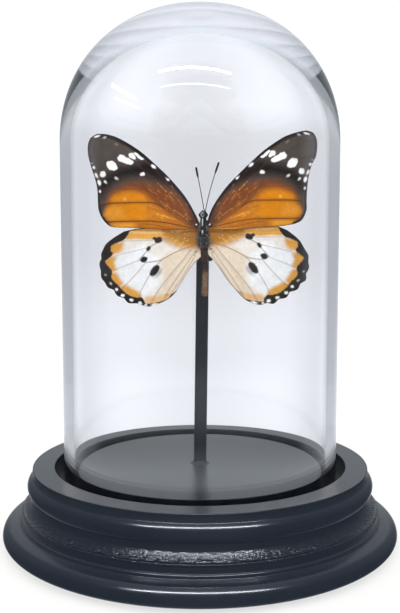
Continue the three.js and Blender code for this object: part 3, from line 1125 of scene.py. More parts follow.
HINDWING_PATTERN = Pattern(
    areas=(
        Area(Layer.CREAM, ((0.5, -2.0), (6.5, -1.8), (9.8, -2.8), (12.0, -5.2), (11.5, -9.0),
                           (12.0, -12.3), (14.2, -15.0), (15.8, -16.1), (8.8, -17.0), (4.0, -12.1),
                           (-1.0, -4.1)), 1.8, 0.85),
        Area(Layer.CREAM, ((9.4, 1.3), (15.7, 0.9), (22.0, 0.6), (23.3, -3.5), (19.3, -2.2), (15.8, -1.2),
                           (15.0, -3.1), (11.2, -5.0), (7.6, -2.5)), 1.0, 0.4),
        Area(Layer.OCHRE, ((-1.0, 6.0), (12.6, 6.0), (12.4, 1.5), (11.0, 0.2), (9.4, -0.7), (7.8, -1.6),
                           (6.0, -2.2), (4.1, -2.5), (1.9, -2.6), (-1.0, -2.8)), 1.5),
        Area(Layer.RUFOUS, ((0.2, 2.4), (3.0, 2.2), (7.4, 1.0), (7.0, -0.4), (3.4, -1.2),
                            (0.2, -1.4)), 1.5, 0.9),
        Area(Layer.AMBER, ((7.4, 0.4), (9.6, 1.2), (12.0, 1.4), (10.6, 0.1), (8.6, -0.9), (6.4, -1.9),
                           (3.6, -2.3), (3.4, -1.6), (5.6, -0.9)), 0.8, 0.55),
        Area(Layer.AMBER, ((11.0, 1.1), (11.6, 3.4), (15.7, 4.4), (19.5, 3.6), (21.2, 0.6), (18.7, 0.5),
                           (15.7, 0.3), (13.0, 0.4)), 0.4),
        Area(Layer.AMBER, ((21.8, -0.3), (26.2, -0.6), (26.8, -2.4), (25.2, -3.7), (23.2, -3.3),
                           (22.1, -2.0)), 0.7),
        Area(Layer.AMBER, ((23.9, -4.4), (26.5, -4.0), (28.1, -5.4), (27.9, -6.7), (26.8, -7.9),
                           (25.0, -8.5), (23.9, -7.8), (24.4, -6.2)), 0.7),
        Area(Layer.AMBER, ((25.2, -8.4), (26.8, -9.4), (26.4, -11.1), (24.0, -13.1), (22.2, -12.0),
                           (23.0, -10.4), (23.8, -9.0)), 0.7),
        Area(Layer.AMBER, ((22.3, -12.3), (23.8, -13.0), (21.4, -15.8), (18.6, -16.9), (17.0, -16.0),
                           (17.9, -14.1), (20.2, -12.9), (21.5, -12.1)), 0.7),
        Area(Layer.AMBER, ((8.7, -14.6), (10.4, -15.2), (13.1, -15.5), (15.6, -15.6), (16.4, -16.6),
                           (15.9, -18.3), (12.6, -18.2), (9.4, -17.1), (8.0, -15.4)), 0.7, 0.75),
    ),
    veins=(
        Vein(((2.2, 1.3), (8.4, 0.8), (13.8, 0.1), (22.0, 0.0), (25.5, -1.1)), 0.2, 0.5),
        Vein(((12.2, -0.5), (14.7, -1.8), (16.0, -3.5), (17.7, -5.3)), 0.24, 0.7),
        Vein(((2.7, -1.6), (4.9, -2.2), (8.4, -3.7), (11.7, -5.4), (13.6, -5.8), (15.8, -6.0),
              (17.4, -5.4)), 0.22, 0.75),
        Vein(((14.9, -1.9), (18.5, -2.7), (22.0, -3.5), (26.1, -4.6)), 0.17, 0.5),
        Vein(((17.7, -5.4), (20.7, -6.5), (23.4, -7.6), (26.9, -9.2)), 0.17, 0.5),
        Vein(((15.9, -6.1), (18.0, -8.6), (21.0, -11.7), (24.0, -14.4)), 0.19, 0.6),
        Vein(((11.2, -5.3), (12.8, -6.8), (14.7, -9.4), (16.4, -12.2), (17.5, -14.4),
              (18.3, -17.2)), 0.2, 0.6),
        Vein(((3.3, -2.7), (6.0, -6.0), (9.3, -9.8), (11.7, -12.8), (13.4, -15.3),
              (14.8, -18.0)), 0.26, 0.5),
        Vein(((2.4, -3.6), (4.9, -7.1), (7.6, -10.9), (9.8, -14.2), (10.7, -16.1)), 0.3, 0.42),
        Vein(((2.2, -4.6), (4.1, -7.6), (6.6, -11.5), (8.7, -14.5)), 0.3, 0.42),
        Vein(((1.6, -2.6), (5.0, -5.4), (8.4, -9.4), (11.0, -12.8)), 0.4, 0.16),
    ),
    marks=(
        (Layer.INK, Spot(12.2, 0.1, 2.2, 1.6, -20)),
        (Layer.INK, Spot(13.2, 0.5, 1.2, 0.9, 20)),
        (Layer.INK, Spot(15.0, -2.2, 1.5, 1.0, -50)),
        (Layer.INK, Spot(16.3, -5.2, 2.2, 1.7, -15, squareness=1.6)),
        (Layer.INK, Spot(13.4, -8.3, 3.6, 1.9, -52)),
        (Layer.INK, Spot(12.5, -9.0, 2.8, 1.5, -52, 0.5, 0.5)),
        (Layer.INK, Spot(10.2, -15.1, 1.0, 0.6, -20, 0.45, 0.3)),
        (Layer.INK, Spot(1.85, -3.3, 0.8, 0.6, -30, 0.7, 0.2)),
        (Layer.INK, Spot(2.3, -4.1, 0.7, 0.45, -10, 0.6, 0.2)),
        (Layer.WHITE, Spot(24.0, -13.4, 0.8, 0.75)),
        (Layer.WHITE, Spot(22.4, -15.1, 0.95, 0.8, 20)),
        (Layer.WHITE, Spot(20.0, -16.4, 1.0, 0.75, 15)),
        (Layer.WHITE, Spot(17.6, -17.3, 1.0, 0.9)),
        (Layer.WHITE, Spot(16.1, -17.9, 0.75, 0.52, -10)),
        (Layer.WHITE, Spot(13.8, -17.8, 1.7, 0.55, -14)),
        (Layer.WHITE, Spot(25.6, -11.7, 0.75, 0.55, 40, 0.6)),
        (Layer.WHITE, Spot(27.0, -9.3, 0.6, 0.55, 0, 0.4)),
        # Painted highlights: pale glint lines along the front edge, under the forewing.
        (Layer.GLOW, Spot(15.3, 2.2, 7.4, 0.6, 2, 0.85, 0.3)),
        (Layer.GLOW, Spot(5.2, 2.9, 7.4, 0.4, -2, 0.7, 0.2)),
    ),
    shapes=(),
    # Painted highlights: pale glint streaks near the hindwing's root.
    specks=PaintedGlints(26, (1.2, 9.0), (-2.2, 2.8), 1.8),
    margin_ink=0.3,
    costa_ink=0.3,
)

# Inner edge of the hindwing's black border, closed through the wing's root.
HINDWING_FIELD: tuple[Point, ...] = (
    (19.8, 5.1), (20.0, 2.7), (21.7, 0.3), (23.3, -0.4), (25.1, -1.2), (25.4, -2.4), (24.8, -3.5),
    (25.6, -4.5),
    (26.9, -5.4), (26.7, -6.2), (25.8, -7.3), (25.1, -8.4), (25.4, -9.8), (24.9, -10.9), (23.6, -12.1),
    (22.4, -13.6), (20.7, -15.0), (18.6, -15.7), (17.2, -15.7), (16.4, -16.6), (15.9, -17.5),
    (12.6, -17.1),
    (9.8, -16.1), (8.8, -14.9), (4.0, -11.1), (-1.1, -4.1), (-3.1, -0.8), (-3.1, 9.9), (18.0, 9.9),
)


@dataclass
class Wing:
    """One wing: its edges in millimetres out from and up from the body's reference point.

    The front edge and the outer edge meet at the tip, the outer and the inner edge at the heel.
    Each edge is a list of smooth stretches that meet in corners. The skin thins to the rim's share
    of its thickness over the rim's grid steps, and it bows between the veins and in one long wave.
    """

    node: str
    side: Side
    plane: float
    front: list[list[Point]]
    outer: list[list[Point]]
    inner: list[list[Point]]
    pattern: Pattern
    setting: Setting
    slot: str
    field_line: tuple[Point, ...] = ()
    body: Place = (1.1, -4.0, 84.0)
    rise: float = math.radians(3.0)
    thickness: float = 0.12
    rim_share: float = 0.35
    rim_steps: float = 3.0
    vein_height: float = 0.07
    vein_reach: float = 0.13
    pleat: float = 0.10
    pleat_reach: float = 1.3
    pleat_share: float = 0.7
    pleat_wave: Wave = Wave(0.5, 7.0, 0.9)
    long_wave: Wave = Wave(0.10, 14.0, 1.3)
    fray: Wave = Wave(0.08, 0.9, 1.9)
    field_fray: Wave = Wave(0.12, 0.8, 3.1)
    field_blur: float = 0.12
    margin_core: float = 0.35
    costa_taper: Point = (0.55, 0.45)
    costa_blur: Point = (1.0, 0.55)
    inner_ink: float = 0.8
    inner_blur: Point = (0.22, 0.05)
    vein_fade: float = 0.85
    margin_points: int = 220
    edge_points: int = 160
    columns: int = 210
    rows: int = 150

    def edge(self, stretches: list[list[Point]], count: int) -> np.ndarray:
        """Place points evenly along an edge that has corners."""
        paths = [smooth_path(stretch, 12)[(1 if i else 0):] for i, stretch in enumerate(stretches)]
        return spaced(np.vstack(paths), count)

    def sheet(self) -> np.ndarray:
        """Spread a grid of places between the wing's edges, root to outer edge by inner to front."""
        low = self.edge(self.inner, self.columns)
        high = self.edge(self.front, self.columns)
        start = spaced(np.array([low[0], high[0]]), self.rows)
        end = self.edge(self.outer, self.rows)[::-1]
        u = np.linspace(0.0, 1.0, self.columns)[:, None, None]
        v = np.linspace(0.0, 1.0, self.rows)[None, :, None]
        ruled = (1 - v) * low[:, None] + v * high[:, None] + (1 - u) * start[None] + u * end[None]
        corners = (1 - u) * ((1 - v) * low[0] + v * high[0]) + u * ((1 - v) * low[-1] + v * high[-1])
        return ruled - corners

    def cover(self, places: np.ndarray) -> dict[Layer, np.ndarray]:
        """Work out the layers' coverage on this wing, its dark edges included."""
        drawing = self.setting.undo(places)
        cover = self.pattern.layers(drawing)
        margin, _ = distance_to(self.edge(self.outer, self.margin_points), places)
        costa, along = distance_to(self.edge(self.front, self.edge_points), places)
        inner, _ = distance_to(self.edge(self.inner, self.edge_points), places)
        fray = self.fray.over(places)
        margin_width = self.pattern.margin_ink
        costa_width = self.pattern.costa_ink * (self.costa_taper[0] + self.costa_taper[1] * along)
        inks = [
            ramp(margin_width, self.margin_core * margin_width, margin + fray),
            ramp(*self.costa_blur, (costa + fray) / costa_width),
            self.inner_ink * ramp(*self.inner_blur, inner),
        ]
        if self.field_line:
            outline = smooth_path([*self.field_line, self.field_line[0]], 6)
            depth = depth_in(outline, drawing) + self.field_fray.over(places)
            inks.append(ramp(self.field_blur, -self.field_blur, depth))
        cover[Layer.INK] = np.maximum.reduce([cover[Layer.INK], *inks])
        cover[Layer.VEIN] *= 1 - self.vein_fade * cover[Layer.INK]
        return cover

    def relief(self, places: np.ndarray) -> tuple[np.ndarray, np.ndarray]:
        """Work out the wing skin's shape across its plane.

        Args:
            places: Positions on the wing.

        Returns:
            How far the skin bows off the plane, and how much the veins thicken it.
        """
        drawing = self.setting.undo(places)
        nearest = np.minimum.reduce([vein.gap(drawing, 4) for vein in self.pattern.veins])
        sag = self.pleat * (1 - np.exp(-(nearest / self.pleat_reach)**2))
        sag = sag * (self.pleat_share + self.pleat_wave.over(places))
        seed = self.long_wave.seed + self.side.value
        wave = self.long_wave.height * ripple(places, self.long_wave.size, seed)
        return sag + wave, self.vein_height * np.exp(-(nearest / self.vein_reach)**2)

    def skins(self, places: np.ndarray) -> list[np.ndarray]:
        """The front and the back skin's points, in millimetres."""
        bow, ridge = self.relief(places)
        rows, columns = (np.minimum(np.arange(n), np.arange(n)[::-1]) for n in (self.rows, self.columns))
        inset = np.minimum(columns[:, None], rows[None, :]).ravel()
        share = self.rim_share + (1 - self.rim_share) * np.minimum(inset / self.rim_steps, 1.0)
        half = 0.5 * self.thickness * share + ridge
        x = self.body[0] + self.side.value * places[:, 0] * math.cos(self.rise)
        middle = self.body[1] + self.plane - places[:, 0] * math.sin(self.rise) + bow
        z = self.body[2] + places[:, 1]
        return [np.column_stack([x, middle - half, z]), np.column_stack([x, middle + half, z])]

    def build(self, above: Finish, below: Finish) -> Piece:
        """Make the wing.

        Args:
            above: Finish of the side that faces forward.
            below: Finish of the side that faces back.

        Returns:
            The finished wing.
        """
        places = self.sheet().reshape(-1, 2)
        count = len(places)
        index = np.arange(count).reshape(self.columns, self.rows)
        corners = [index[:-1, :-1], index[1:, :-1], index[1:, 1:], index[:-1, 1:]]
        quads = np.stack(corners, axis=-1).reshape(-1, 4)
        border = np.concatenate([index[:-1, 0], index[-1, :-1], index[:0:-1, -1], index[0, :0:-1]])
        after = np.roll(border, -1)
        rim = np.column_stack([border, border + count, after + count, after])
        if self.side is Side.LEFT:
            quads, rim = quads[:, ::-1], rim[:, ::-1]
        faces = np.vstack([quads, quads[:, ::-1] + count, rim])
        piece = make_piece(f"{self.node}_skin", np.vstack(self.skins(places)) * MM, [faces])
        behind = np.zeros(len(faces), dtype=np.int32)
        behind[len(quads):2 * len(quads)] = 1
        piece.data.polygons.foreach_set("material_index", behind)
        for layer, value in self.cover(places).items():
            note_values(piece, layer.value, np.tile(value, 2))
        dress(piece, self.slot, above, below)
        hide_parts(self.node)
        return piece


def forewings() -> list[Wing]:
    """The two forewings as they were set."""
    shared = {"plane": -0.9, "pattern": FOREWING_PATTERN, "slot": "orange_wing"}
    left = Wing(
        "forewing_left", Side.LEFT, **shared,
        front=[[(0.9, 3.0), (1.5, 4.4), (2.8, 7.0), (5.2, 11.0), (9.2, 15.7), (13.5, 19.8), (17.4, 23.1),
                (22.0, 25.9), (25.6, 27.3), (28.5, 27.5)]],
        outer=[[(28.5, 27.5), (30.2, 26.4), (31.0, 24.5), (31.0, 22.0), (30.3, 19.0), (29.2, 15.6),
                (28.6, 12.7), (28.5, 9.7), (28.3, 7.2), (27.4, 5.0), (26.2, 3.5)]],
        inner=[[(0.9, 2.0), (9.4, 2.0), (15.0, 2.3), (20.6, 2.5), (24.7, 2.7), (26.2, 3.5)]],
        setting=Setting(turn=-1.37, scale=1.0065, shift=(0.41, -0.31)),
    )
    right = Wing(
        "forewing_right", Side.RIGHT, **shared,
        front=[[(0.8, 3.3), (1.2, 5.4), (2.6, 8.6), (5.8, 13.2), (9.8, 17.4), (13.8, 21.2), (16.9, 23.8),
                (21.4, 26.7), (25.2, 28.1), (27.3, 28.5)]],
        outer=[[(27.3, 28.5), (29.0, 27.9), (29.9, 26.4), (30.2, 24.5), (29.9, 21.6), (28.7, 19.0),
                (27.9, 15.6), (27.6, 12.7), (27.5, 9.7), (27.5, 7.2), (26.3, 4.6), (24.2, 3.5)]],
        inner=[[(0.9, 1.9), (9.6, 2.1), (13.9, 2.5), (20.3, 2.9), (24.2, 3.5)]],
        setting=Setting(),
    )
    return [left, right]


def hindwings() -> list[Wing]:
    """The two hindwings as they were set."""
    shared = {
        "plane": -0.1, "pattern": HINDWING_PATTERN, "slot": "pale_wing", "field_line": HINDWING_FIELD,
    }
    left = Wing(
        "hindwing_left", Side.LEFT, **shared,
        front=[[(0.7, 1.8), (6.0, 3.4), (10.5, 3.5), (14.6, 2.6), (18.5, 2.2), (21.7, 1.5)]],
        outer=[[(21.7, 1.5), (24.5, -0.2), (26.5, -1.8), (27.3, -3.2)],
               [(27.3, -3.2), (27.9, -4.6), (27.8, -5.8)], [(27.8, -5.8), (28.4, -7.2), (28.0, -9.2)],
               [(28.0, -9.2), (27.9, -11.0), (26.9, -12.3)],
               [(26.9, -12.3), (26.2, -13.6), (24.6, -14.3)],
               [(24.6, -14.3), (23.6, -15.9), (21.8, -16.6)],
               [(21.8, -16.6), (20.6, -17.9), (18.4, -18.0)],
               [(18.4, -18.0), (15.2, -18.9), (12.1, -18.0), (9.5, -16.7), (7.7, -15.0)]],
        inner=[[(0.7, -1.2), (0.6, -3.4), (0.8, -5.4)],
               [(0.8, -5.4), (2.3, -6.8), (3.8, -8.5), (6.6, -13.0), (7.7, -15.0)]],
        setting=Setting(turn=-0.68, scale=0.9795, shift=(0.41, -0.79)),
    )
    right = Wing(
        "hindwing_right", Side.RIGHT, **shared,
        front=[[(0.7, 1.8), (6.0, 3.9), (11.0, 4.7), (16.0, 4.3), (20.0, 2.9), (22.6, 1.8)]],
        outer=[[(22.6, 1.8), (25.6, -0.6), (27.3, -3.2)], [(27.3, -3.2), (28.3, -4.9), (28.3, -6.6)],
               [(28.3, -6.6), (28.5, -8.3), (27.7, -9.9)], [(27.7, -9.9), (27.7, -11.6), (26.2, -12.6)],
               [(26.2, -12.6), (25.4, -14.2), (23.4, -14.8)],
               [(23.4, -14.8), (22.4, -16.4), (20.4, -16.8)],
               [(20.4, -16.8), (19.0, -18.1), (17.2, -17.9)],
               [(17.2, -17.9), (14.9, -18.4), (11.4, -17.1), (8.8, -14.5)]],
        inner=[[(0.7, -1.2), (0.6, -2.6), (0.9, -4.2)],
               [(0.9, -4.2), (1.4, -5.2), (2.2, -5.9), (3.5, -7.5), (6.6, -12.0), (8.8, -14.5)]],
        setting=Setting(),
    )
    return [left, right]


# ------------------------------------------------------------------ body
@dataclass(frozen=True)
class Ball:
    """A rounded part of the body: its centre, its radii and the number of its rings."""

    centre: Place
    radii: Place
    rings: int

    def form(self) -> Form:
        """The ball's points and faces."""
        height = np.cos(np.linspace(0.0, math.pi, self.rings))
        path = np.column_stack([np.zeros(self.rings), np.zeros(self.rings), -height])
        points, faces = tube(path, np.sqrt(np.maximum(1 - height**2, 1e-8)), self.rings + 6)
        return points * np.array(self.radii) + np.array(self.centre), faces


@dataclass(frozen=True)
class Stripe:
    """A pale upright line on the thorax: its place, its half width and where it starts and ends.

    Each pair of numbers says where the line has faded away and where it is whole.
    """

    strength: float
    out: float
    width: Point
    start: Point
    end: Point

    def cover(self, out: np.ndarray, up: np.ndarray) -> np.ndarray:
        """How pale the line makes each place."""
        line = self.strength * ramp(*self.width, np.abs(out - self.out))
        return line * ramp(*self.start, up) * ramp(*self.end, up)


@dataclass
class ButterflyBody:
    """Head, thorax, abdomen, feelers and folded legs, in millimetres from the reference point.

    Each row of the trunk gives a height, the sideways and backward place of its middle there,
    and its half width and half depth. Each waist is a height, a depth and a width of a nick.
    """

    origin: Place = (1.1, -4.0, 84.0)
    trunk_rows: tuple[tuple[float, float, float, float, float], ...] = (
        (7.05, -0.20, 0.00, 0.02, 0.02), (6.90, -0.20, 0.00, 0.60, 0.58), (6.50, -0.20, 0.00, 1.00, 0.95),
        (6.00, -0.20, 0.00, 1.16, 1.10), (5.50, -0.20, 0.00, 1.04, 1.00), (5.10, -0.20, 0.05, 0.84, 0.86),
        (4.70, -0.20, 0.05, 0.82, 0.92), (4.10, -0.20, 0.00, 0.92, 1.15), (3.50, -0.25, -0.10, 1.08, 1.50),
        (2.50, -0.25, -0.15, 1.28, 1.75), (1.20, -0.25, -0.10, 1.42, 1.85), (0.00, -0.20, 0.00, 1.46, 1.80),
        (-1.20, -0.10, 0.10, 1.56, 1.70), (-2.20, 0.00, 0.10, 1.42, 1.50), (-3.00, 0.05, 0.10, 1.14, 1.25),
        (-4.00, 0.05, 0.10, 1.08, 1.15), (-5.00, 0.10, 0.15, 1.00, 1.10), (-5.90, 0.20, 0.20, 0.84, 1.00),
        (-6.60, 0.25, 0.20, 0.74, 0.90), (-8.00, 0.30, 0.25, 0.68, 0.85), (-9.60, 0.30, 0.25, 0.72, 0.85),
        (-10.5, 0.30, 0.27, 0.80, 0.88), (-12.5, 0.27, 0.28, 0.86, 0.90), (-14.5, 0.22, 0.30, 0.90, 0.90),
        (-15.6, 0.20, 0.30, 0.88, 0.88), (-16.1, 0.20, 0.30, 0.68, 0.68), (-16.25, 0.20, 0.30, 0.02, 0.02),
    )
    trunk_sides: int = 56
    ring_length: float = 1.55
    ring_depth: float = 0.11
    ring_width: float = 0.11
    ring_start: Point = (-2.6, -3.4)
    waists: tuple[Place, ...] = ((3.75, 0.12, 0.16), (-0.2, 0.10, 0.2))
    dark_balls: tuple[Ball, ...] = (
        Ball((-0.92, -0.25, 5.95), (0.55, 0.6, 0.62), 20),
        Ball((0.52, -0.25, 5.95), (0.55, 0.6, 0.62), 20),
        Ball((-0.48, -0.35, 6.95), (0.18, 0.28, 0.4), 12),
        Ball((0.08, -0.35, 6.95), (0.18, 0.28, 0.4), 12),
        Ball((-2.15, -1.15, 3.05), (0.56, 0.34, 0.50), 16),
        Ball((1.7, -1.15, 3.05), (0.56, 0.34, 0.50), 16),
    )
    white_balls: tuple[Ball, ...] = (
        Ball((-2.1, -1.42, 3.35), (0.24, 0.16, 0.24), 12),
        Ball((1.5, -1.42, 3.35), (0.24, 0.16, 0.24), 12),
    )
    stripes: tuple[Stripe, ...] = (
        Stripe(0.55, -0.43, (0.20, 0.06), (2.9, 3.2), (5.2, 4.9)),
        Stripe(0.75, -0.43, (0.26, 0.08), (0.9, 1.2), (2.0, 1.7)),
        Stripe(0.14, 0.75, (0.22, 0.08), (1.4, 1.9), (3.4, 3.0)),
        Stripe(0.12, -1.2, (0.26, 0.08), (1.2, 1.6), (3.6, 3.2)),
    )
    tan_start: Point = (-8.9, -10.0)
    tan_least: float = 0.8
    tan_wave: Wave = Wave(0.2, 0.9, 0.3)
    brown: float = 0.5
    brown_start: Point = (-2.4, -3.6)
    brown_end: Point = (-9.8, -9.0)
    head_start: float = 5.2
    # Painted highlight: a pale arc on the head's left side and over the left eye, and a faint pale disc on
    # the head.
    crown: Point = (-0.3, 6.05)
    crown_radius: float = 0.55
    crown_line: Point = (0.20, 0.08)
    crown_side: Point = (0.5, -0.2)
    crown_painted_highlight: float = 0.35
    disc_edge: Point = (0.5, 0.4)
    disc_painted_highlight: float = 0.08
    front: float = -0.3
    legs_folded: tuple[tuple[Place, ...], ...] = (
        ((0.5, 0.9, 3.6), (0.8, 1.6, 4.5), (1.0, 1.9, 1.4), (0.8, 2.0, -1.6)),
        ((0.6, 1.1, 1.0), (1.1, 1.7, 1.9), (1.25, 2.1, -1.6), (1.0, 2.2, -4.4)),
    )
    leg_radii: Point = (0.19, 0.09)
    feeler_radius: float = 0.105
    club: float = 0.17
    club_start: Point = (0.74, 0.86)
    club_middle: float = 0.9
    club_reach: float = 0.1
    feeler_rings: int = 90
    feeler_beads: float = 260.0
    bead_depth: float = 0.08
    feeler_tip: float = 0.01

    def trunk(self) -> Form:
        """Head, thorax and ringed abdomen as one closed skin."""
        rows = smooth_path(list(self.trunk_rows), 14)[::-1]
        up, out, back, width, depth = rows.T
        phase = (up / self.ring_length) % 1.0
        groove = self.ring_depth * np.exp(-((phase - 0.5) / self.ring_width)**2)
        groove = groove * ramp(*self.ring_start, up)
        waist = sum(nick * np.exp(-((up - height) / reach)**2) for height, nick, reach in self.waists)
        path = np.column_stack([out, back, up])
        points, faces = tube(path, np.ones(len(path)), self.trunk_sides)
        size = np.column_stack([width, depth]) * (1 - groove - waist)[:, None]
        rings = points[2:].reshape(len(path), self.trunk_sides, 3)
        middle = path[:, None, :2]
        rings[:, :, :2] = middle + (rings[:, :, :2] - middle) * size[:, None, :]
        rings[:, :, 2] = path[:, None, 2]
        return np.vstack([points[:2], rings.reshape(-1, 3)]), faces

    def legs(self) -> list[Form]:
        """The legs, folded flat behind the thorax."""
        parts = []
        for side in Side:
            for joints in self.legs_folded:
                knots = np.array(joints) * [side.value, 1, 1]
                bones = [np.linspace(a, b, 12, endpoint=False) for a, b in zip(knots[:-1], knots[1:])]
                path = np.vstack(bones)
                parts.append(tube(path, np.linspace(*self.leg_radii, len(path)), 8))
        return parts

    def marks(self, points: np.ndarray) -> dict[str, np.ndarray]:
        """Work out where the skin is tan, brown or white, the white including a painted highlight on the
        head.

        Args:
            points: The skin's points, in millimetres from the reference point.

        Returns:
            The cover of each of the three, 0 to 1, at each point.
        """
        out, back, up = points.T
        tan = ramp(*self.tan_start, up) * (self.tan_least + self.tan_wave.over(points[:, [0, 2]]))
        brown = self.brown * ramp(*self.brown_start, up) * ramp(*self.brown_end, up)
        white_lines_and_highlight = sum(stripe.cover(out, up) for stripe in self.stripes)
        # Painted highlight: a pale arc, whole only on the left, and a faint pale disc on the head.
        aside = out - self.crown[0]
        from_crown = np.hypot(aside, up - self.crown[1])
        head = up > self.head_start
        ring = ramp(*self.crown_line, np.abs(from_crown - self.crown_radius))
        white_lines_and_highlight += self.crown_painted_highlight * ring * head * ramp(*self.crown_side, aside)
        white_lines_and_highlight += self.disc_painted_highlight * ramp(*self.disc_edge, from_crown) * head
        return {"tan": tan, "brown": brown, "speck": white_lines_and_highlight * (back < self.front)}

    def build(self, skin: Finish) -> Piece:
        """Make the body.

        Args:
            skin: Finish of the body.

        Returns:
            The finished body.
        """
        dark = [ball.form() for ball in self.dark_balls]
        white = [ball.form() for ball in self.white_balls]
        points, faces = joined([self.trunk(), *dark, *self.legs(), *white])
        marks = self.marks(points)
        marks["speck"][-sum(len(form[0]) for form in white):] = 1.0
        blocks = [np.vstack([block for block in faces if block.shape[1] == count]) for count in (3, 4)]
        piece = make_piece("butterfly_body_skin", (points + np.array(self.origin)) * MM, blocks)
        for name, values in marks.items():
            note_values(piece, name, values)
        dress(piece, "insect_body", skin)
        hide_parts("butterfly_body")
        return piece

    def feeler(self, side: Side, skin: Finish) -> Piece:
        """Make one feeler with its club.

        Args:
            side: Which feeler.
            skin: Its finish.

        Returns:
            The finished feeler.
        """
        knots = {
            Side.LEFT: ((0.1, 0.0, 6.6), (-0.85, -0.4, 12.0), (-2.2, -0.8, 18.8)),
            Side.RIGHT: ((0.3, 0.0, 6.6), (1.75, -0.4, 13.0), (4.0, -0.8, 20.1)),
        }[side]
        start, middle, end = (np.array(k) for k in knots)
        share = np.linspace(0.0, 1.0, self.feeler_rings)
        path = bent(start, 2 * middle - 0.5 * (start + end), end, self.feeler_rings)
        swell = np.sqrt(np.maximum(1 - ((share - self.club_middle) / self.club_reach)**8, 0.0))
        radius = self.feeler_radius + self.club * ramp(*self.club_start, share) * swell
        radius *= 1 + self.bead_depth * np.sin(share * self.feeler_beads)
        radius[-1] = self.feeler_tip
        points, faces = tube(path, radius, 10)
        name = f"antenna_{side.name.lower()}"
        piece = make_piece(f"{name}_skin", (points + np.array(self.origin)) * MM, faces)
        dress(piece, "insect_body", skin)
        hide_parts(name)
        return piece


@dataclass
class Fur:
    """Short hairs grown by Geometry Nodes between two heights of a skin, made one plain mesh.

    Lengths are in metres, the density is in hairs per square metre. The radii are shares of the
    hair's length, the lean is the most in radians, and the spread gives the shortest and longest.
    """

    name: str
    density: float
    length: float
    low: float
    high: float
    seed: int
    root_radius: float = 0.045
    tip_radius: float = 0.004
    lean: Place = (0.55, 0.55, 0.5)
    spread: Point = (0.5, 1.2)

    def tree(self, material: Finish) -> bpy.types.NodeTree:
        """Build the node tree that grows the hairs.

        Args:
            material: The hairs' finish.

        Returns:
            The tree, with its sizes as named inputs.
        """
        tree = bpy.data.node_groups.new(self.name, "GeometryNodeTree")
        sockets = tree.interface.new_socket
        sockets("Skin", in_out="INPUT", socket_type="NodeSocketGeometry")
        for title in ("Density", "Length", "Low", "High"):
            sockets(title, in_out="INPUT", socket_type="NodeSocketFloat")
        sockets("Seed", in_out="INPUT", socket_type="NodeSocketInt")
        sockets("Hairs", in_out="OUTPUT", socket_type="NodeSocketGeometry")
        nodes = Nodes(tree)
        given = nodes.add("NodeGroupInput").outputs
        _, _, height = nodes.axes(nodes.add("GeometryNodeInputPosition").outputs[0])
        above = nodes.add("FunctionNodeCompare", height, given["Low"])
        above.operation = "GREATER_THAN"
        under = nodes.add("FunctionNodeCompare", height, given["High"])
        under.operation = "LESS_THAN"
        between = nodes.add("FunctionNodeBooleanMath", above.outputs[0], under.outputs[0])
        scatter = nodes.add("GeometryNodeDistributePointsOnFaces", Mesh=given["Skin"],
                            Selection=between.outputs[0], Density=given["Density"], Seed=given["Seed"])
        hair = nodes.add("GeometryNodeMeshCone", Vertices=3, Radius_Bottom=self.root_radius,
                         Radius_Top=self.tip_radius, Depth=1.0)
        lean = nodes.add("FunctionNodeRandomValue", Seed=given["Seed"])
        lean.data_type = "FLOAT_VECTOR"
        lean.inputs["Min"].default_value = [-most for most in self.lean]
        lean.inputs["Max"].default_value = self.lean
        turned = nodes.add("FunctionNodeRotateEuler", scatter.outputs["Rotation"], lean.outputs["Value"])
        size = nodes.add("FunctionNodeRandomValue", Seed=given["Seed"])
        size.inputs[2].default_value, size.inputs[3].default_value = self.spread
        grow = nodes.add("GeometryNodeInstanceOnPoints", Points=scatter.outputs["Points"],
                         Instance=hair.outputs["Mesh"], Rotation=turned.outputs[0],
                         Scale=nodes.times(size.outputs[1], given["Length"]))
        real = nodes.add("GeometryNodeRealizeInstances", grow.outputs[0])
        painted = nodes.add("GeometryNodeSetMaterial", real.outputs[0], Material=material)
        nodes.add("NodeGroupOutput", painted.outputs[0])
        return tree

    def build(self, skin: Piece, material: Finish) -> Piece:
        """Grow the hairs.

        Args:
            skin: The piece that they grow on.
            material: Their finish.

        Returns:
            The hairs as one plain mesh.
        """
        tree = self.tree(material)
        modifier = skin.modifiers.new(self.name, "NODES")
        modifier.node_group = tree
        values = {"Density": self.density, "Length": self.length, "Low": self.low, "High": self.high,
                  "Seed": self.seed}
        for item in tree.interface.items_tree:
            if item.in_out == "INPUT" and item.name in values:
                modifier[item.identifier] = values[item.name]
        shown = skin.evaluated_get(bpy.context.evaluated_depsgraph_get())
        mesh = bpy.data.meshes.new_from_object(shown)
        skin.modifiers.remove(modifier)
        piece = bpy.data.objects.new(self.name, mesh)
        bpy.context.scene.collection.objects.link(piece)
        dress(piece, "insect_body", material)
        return piece


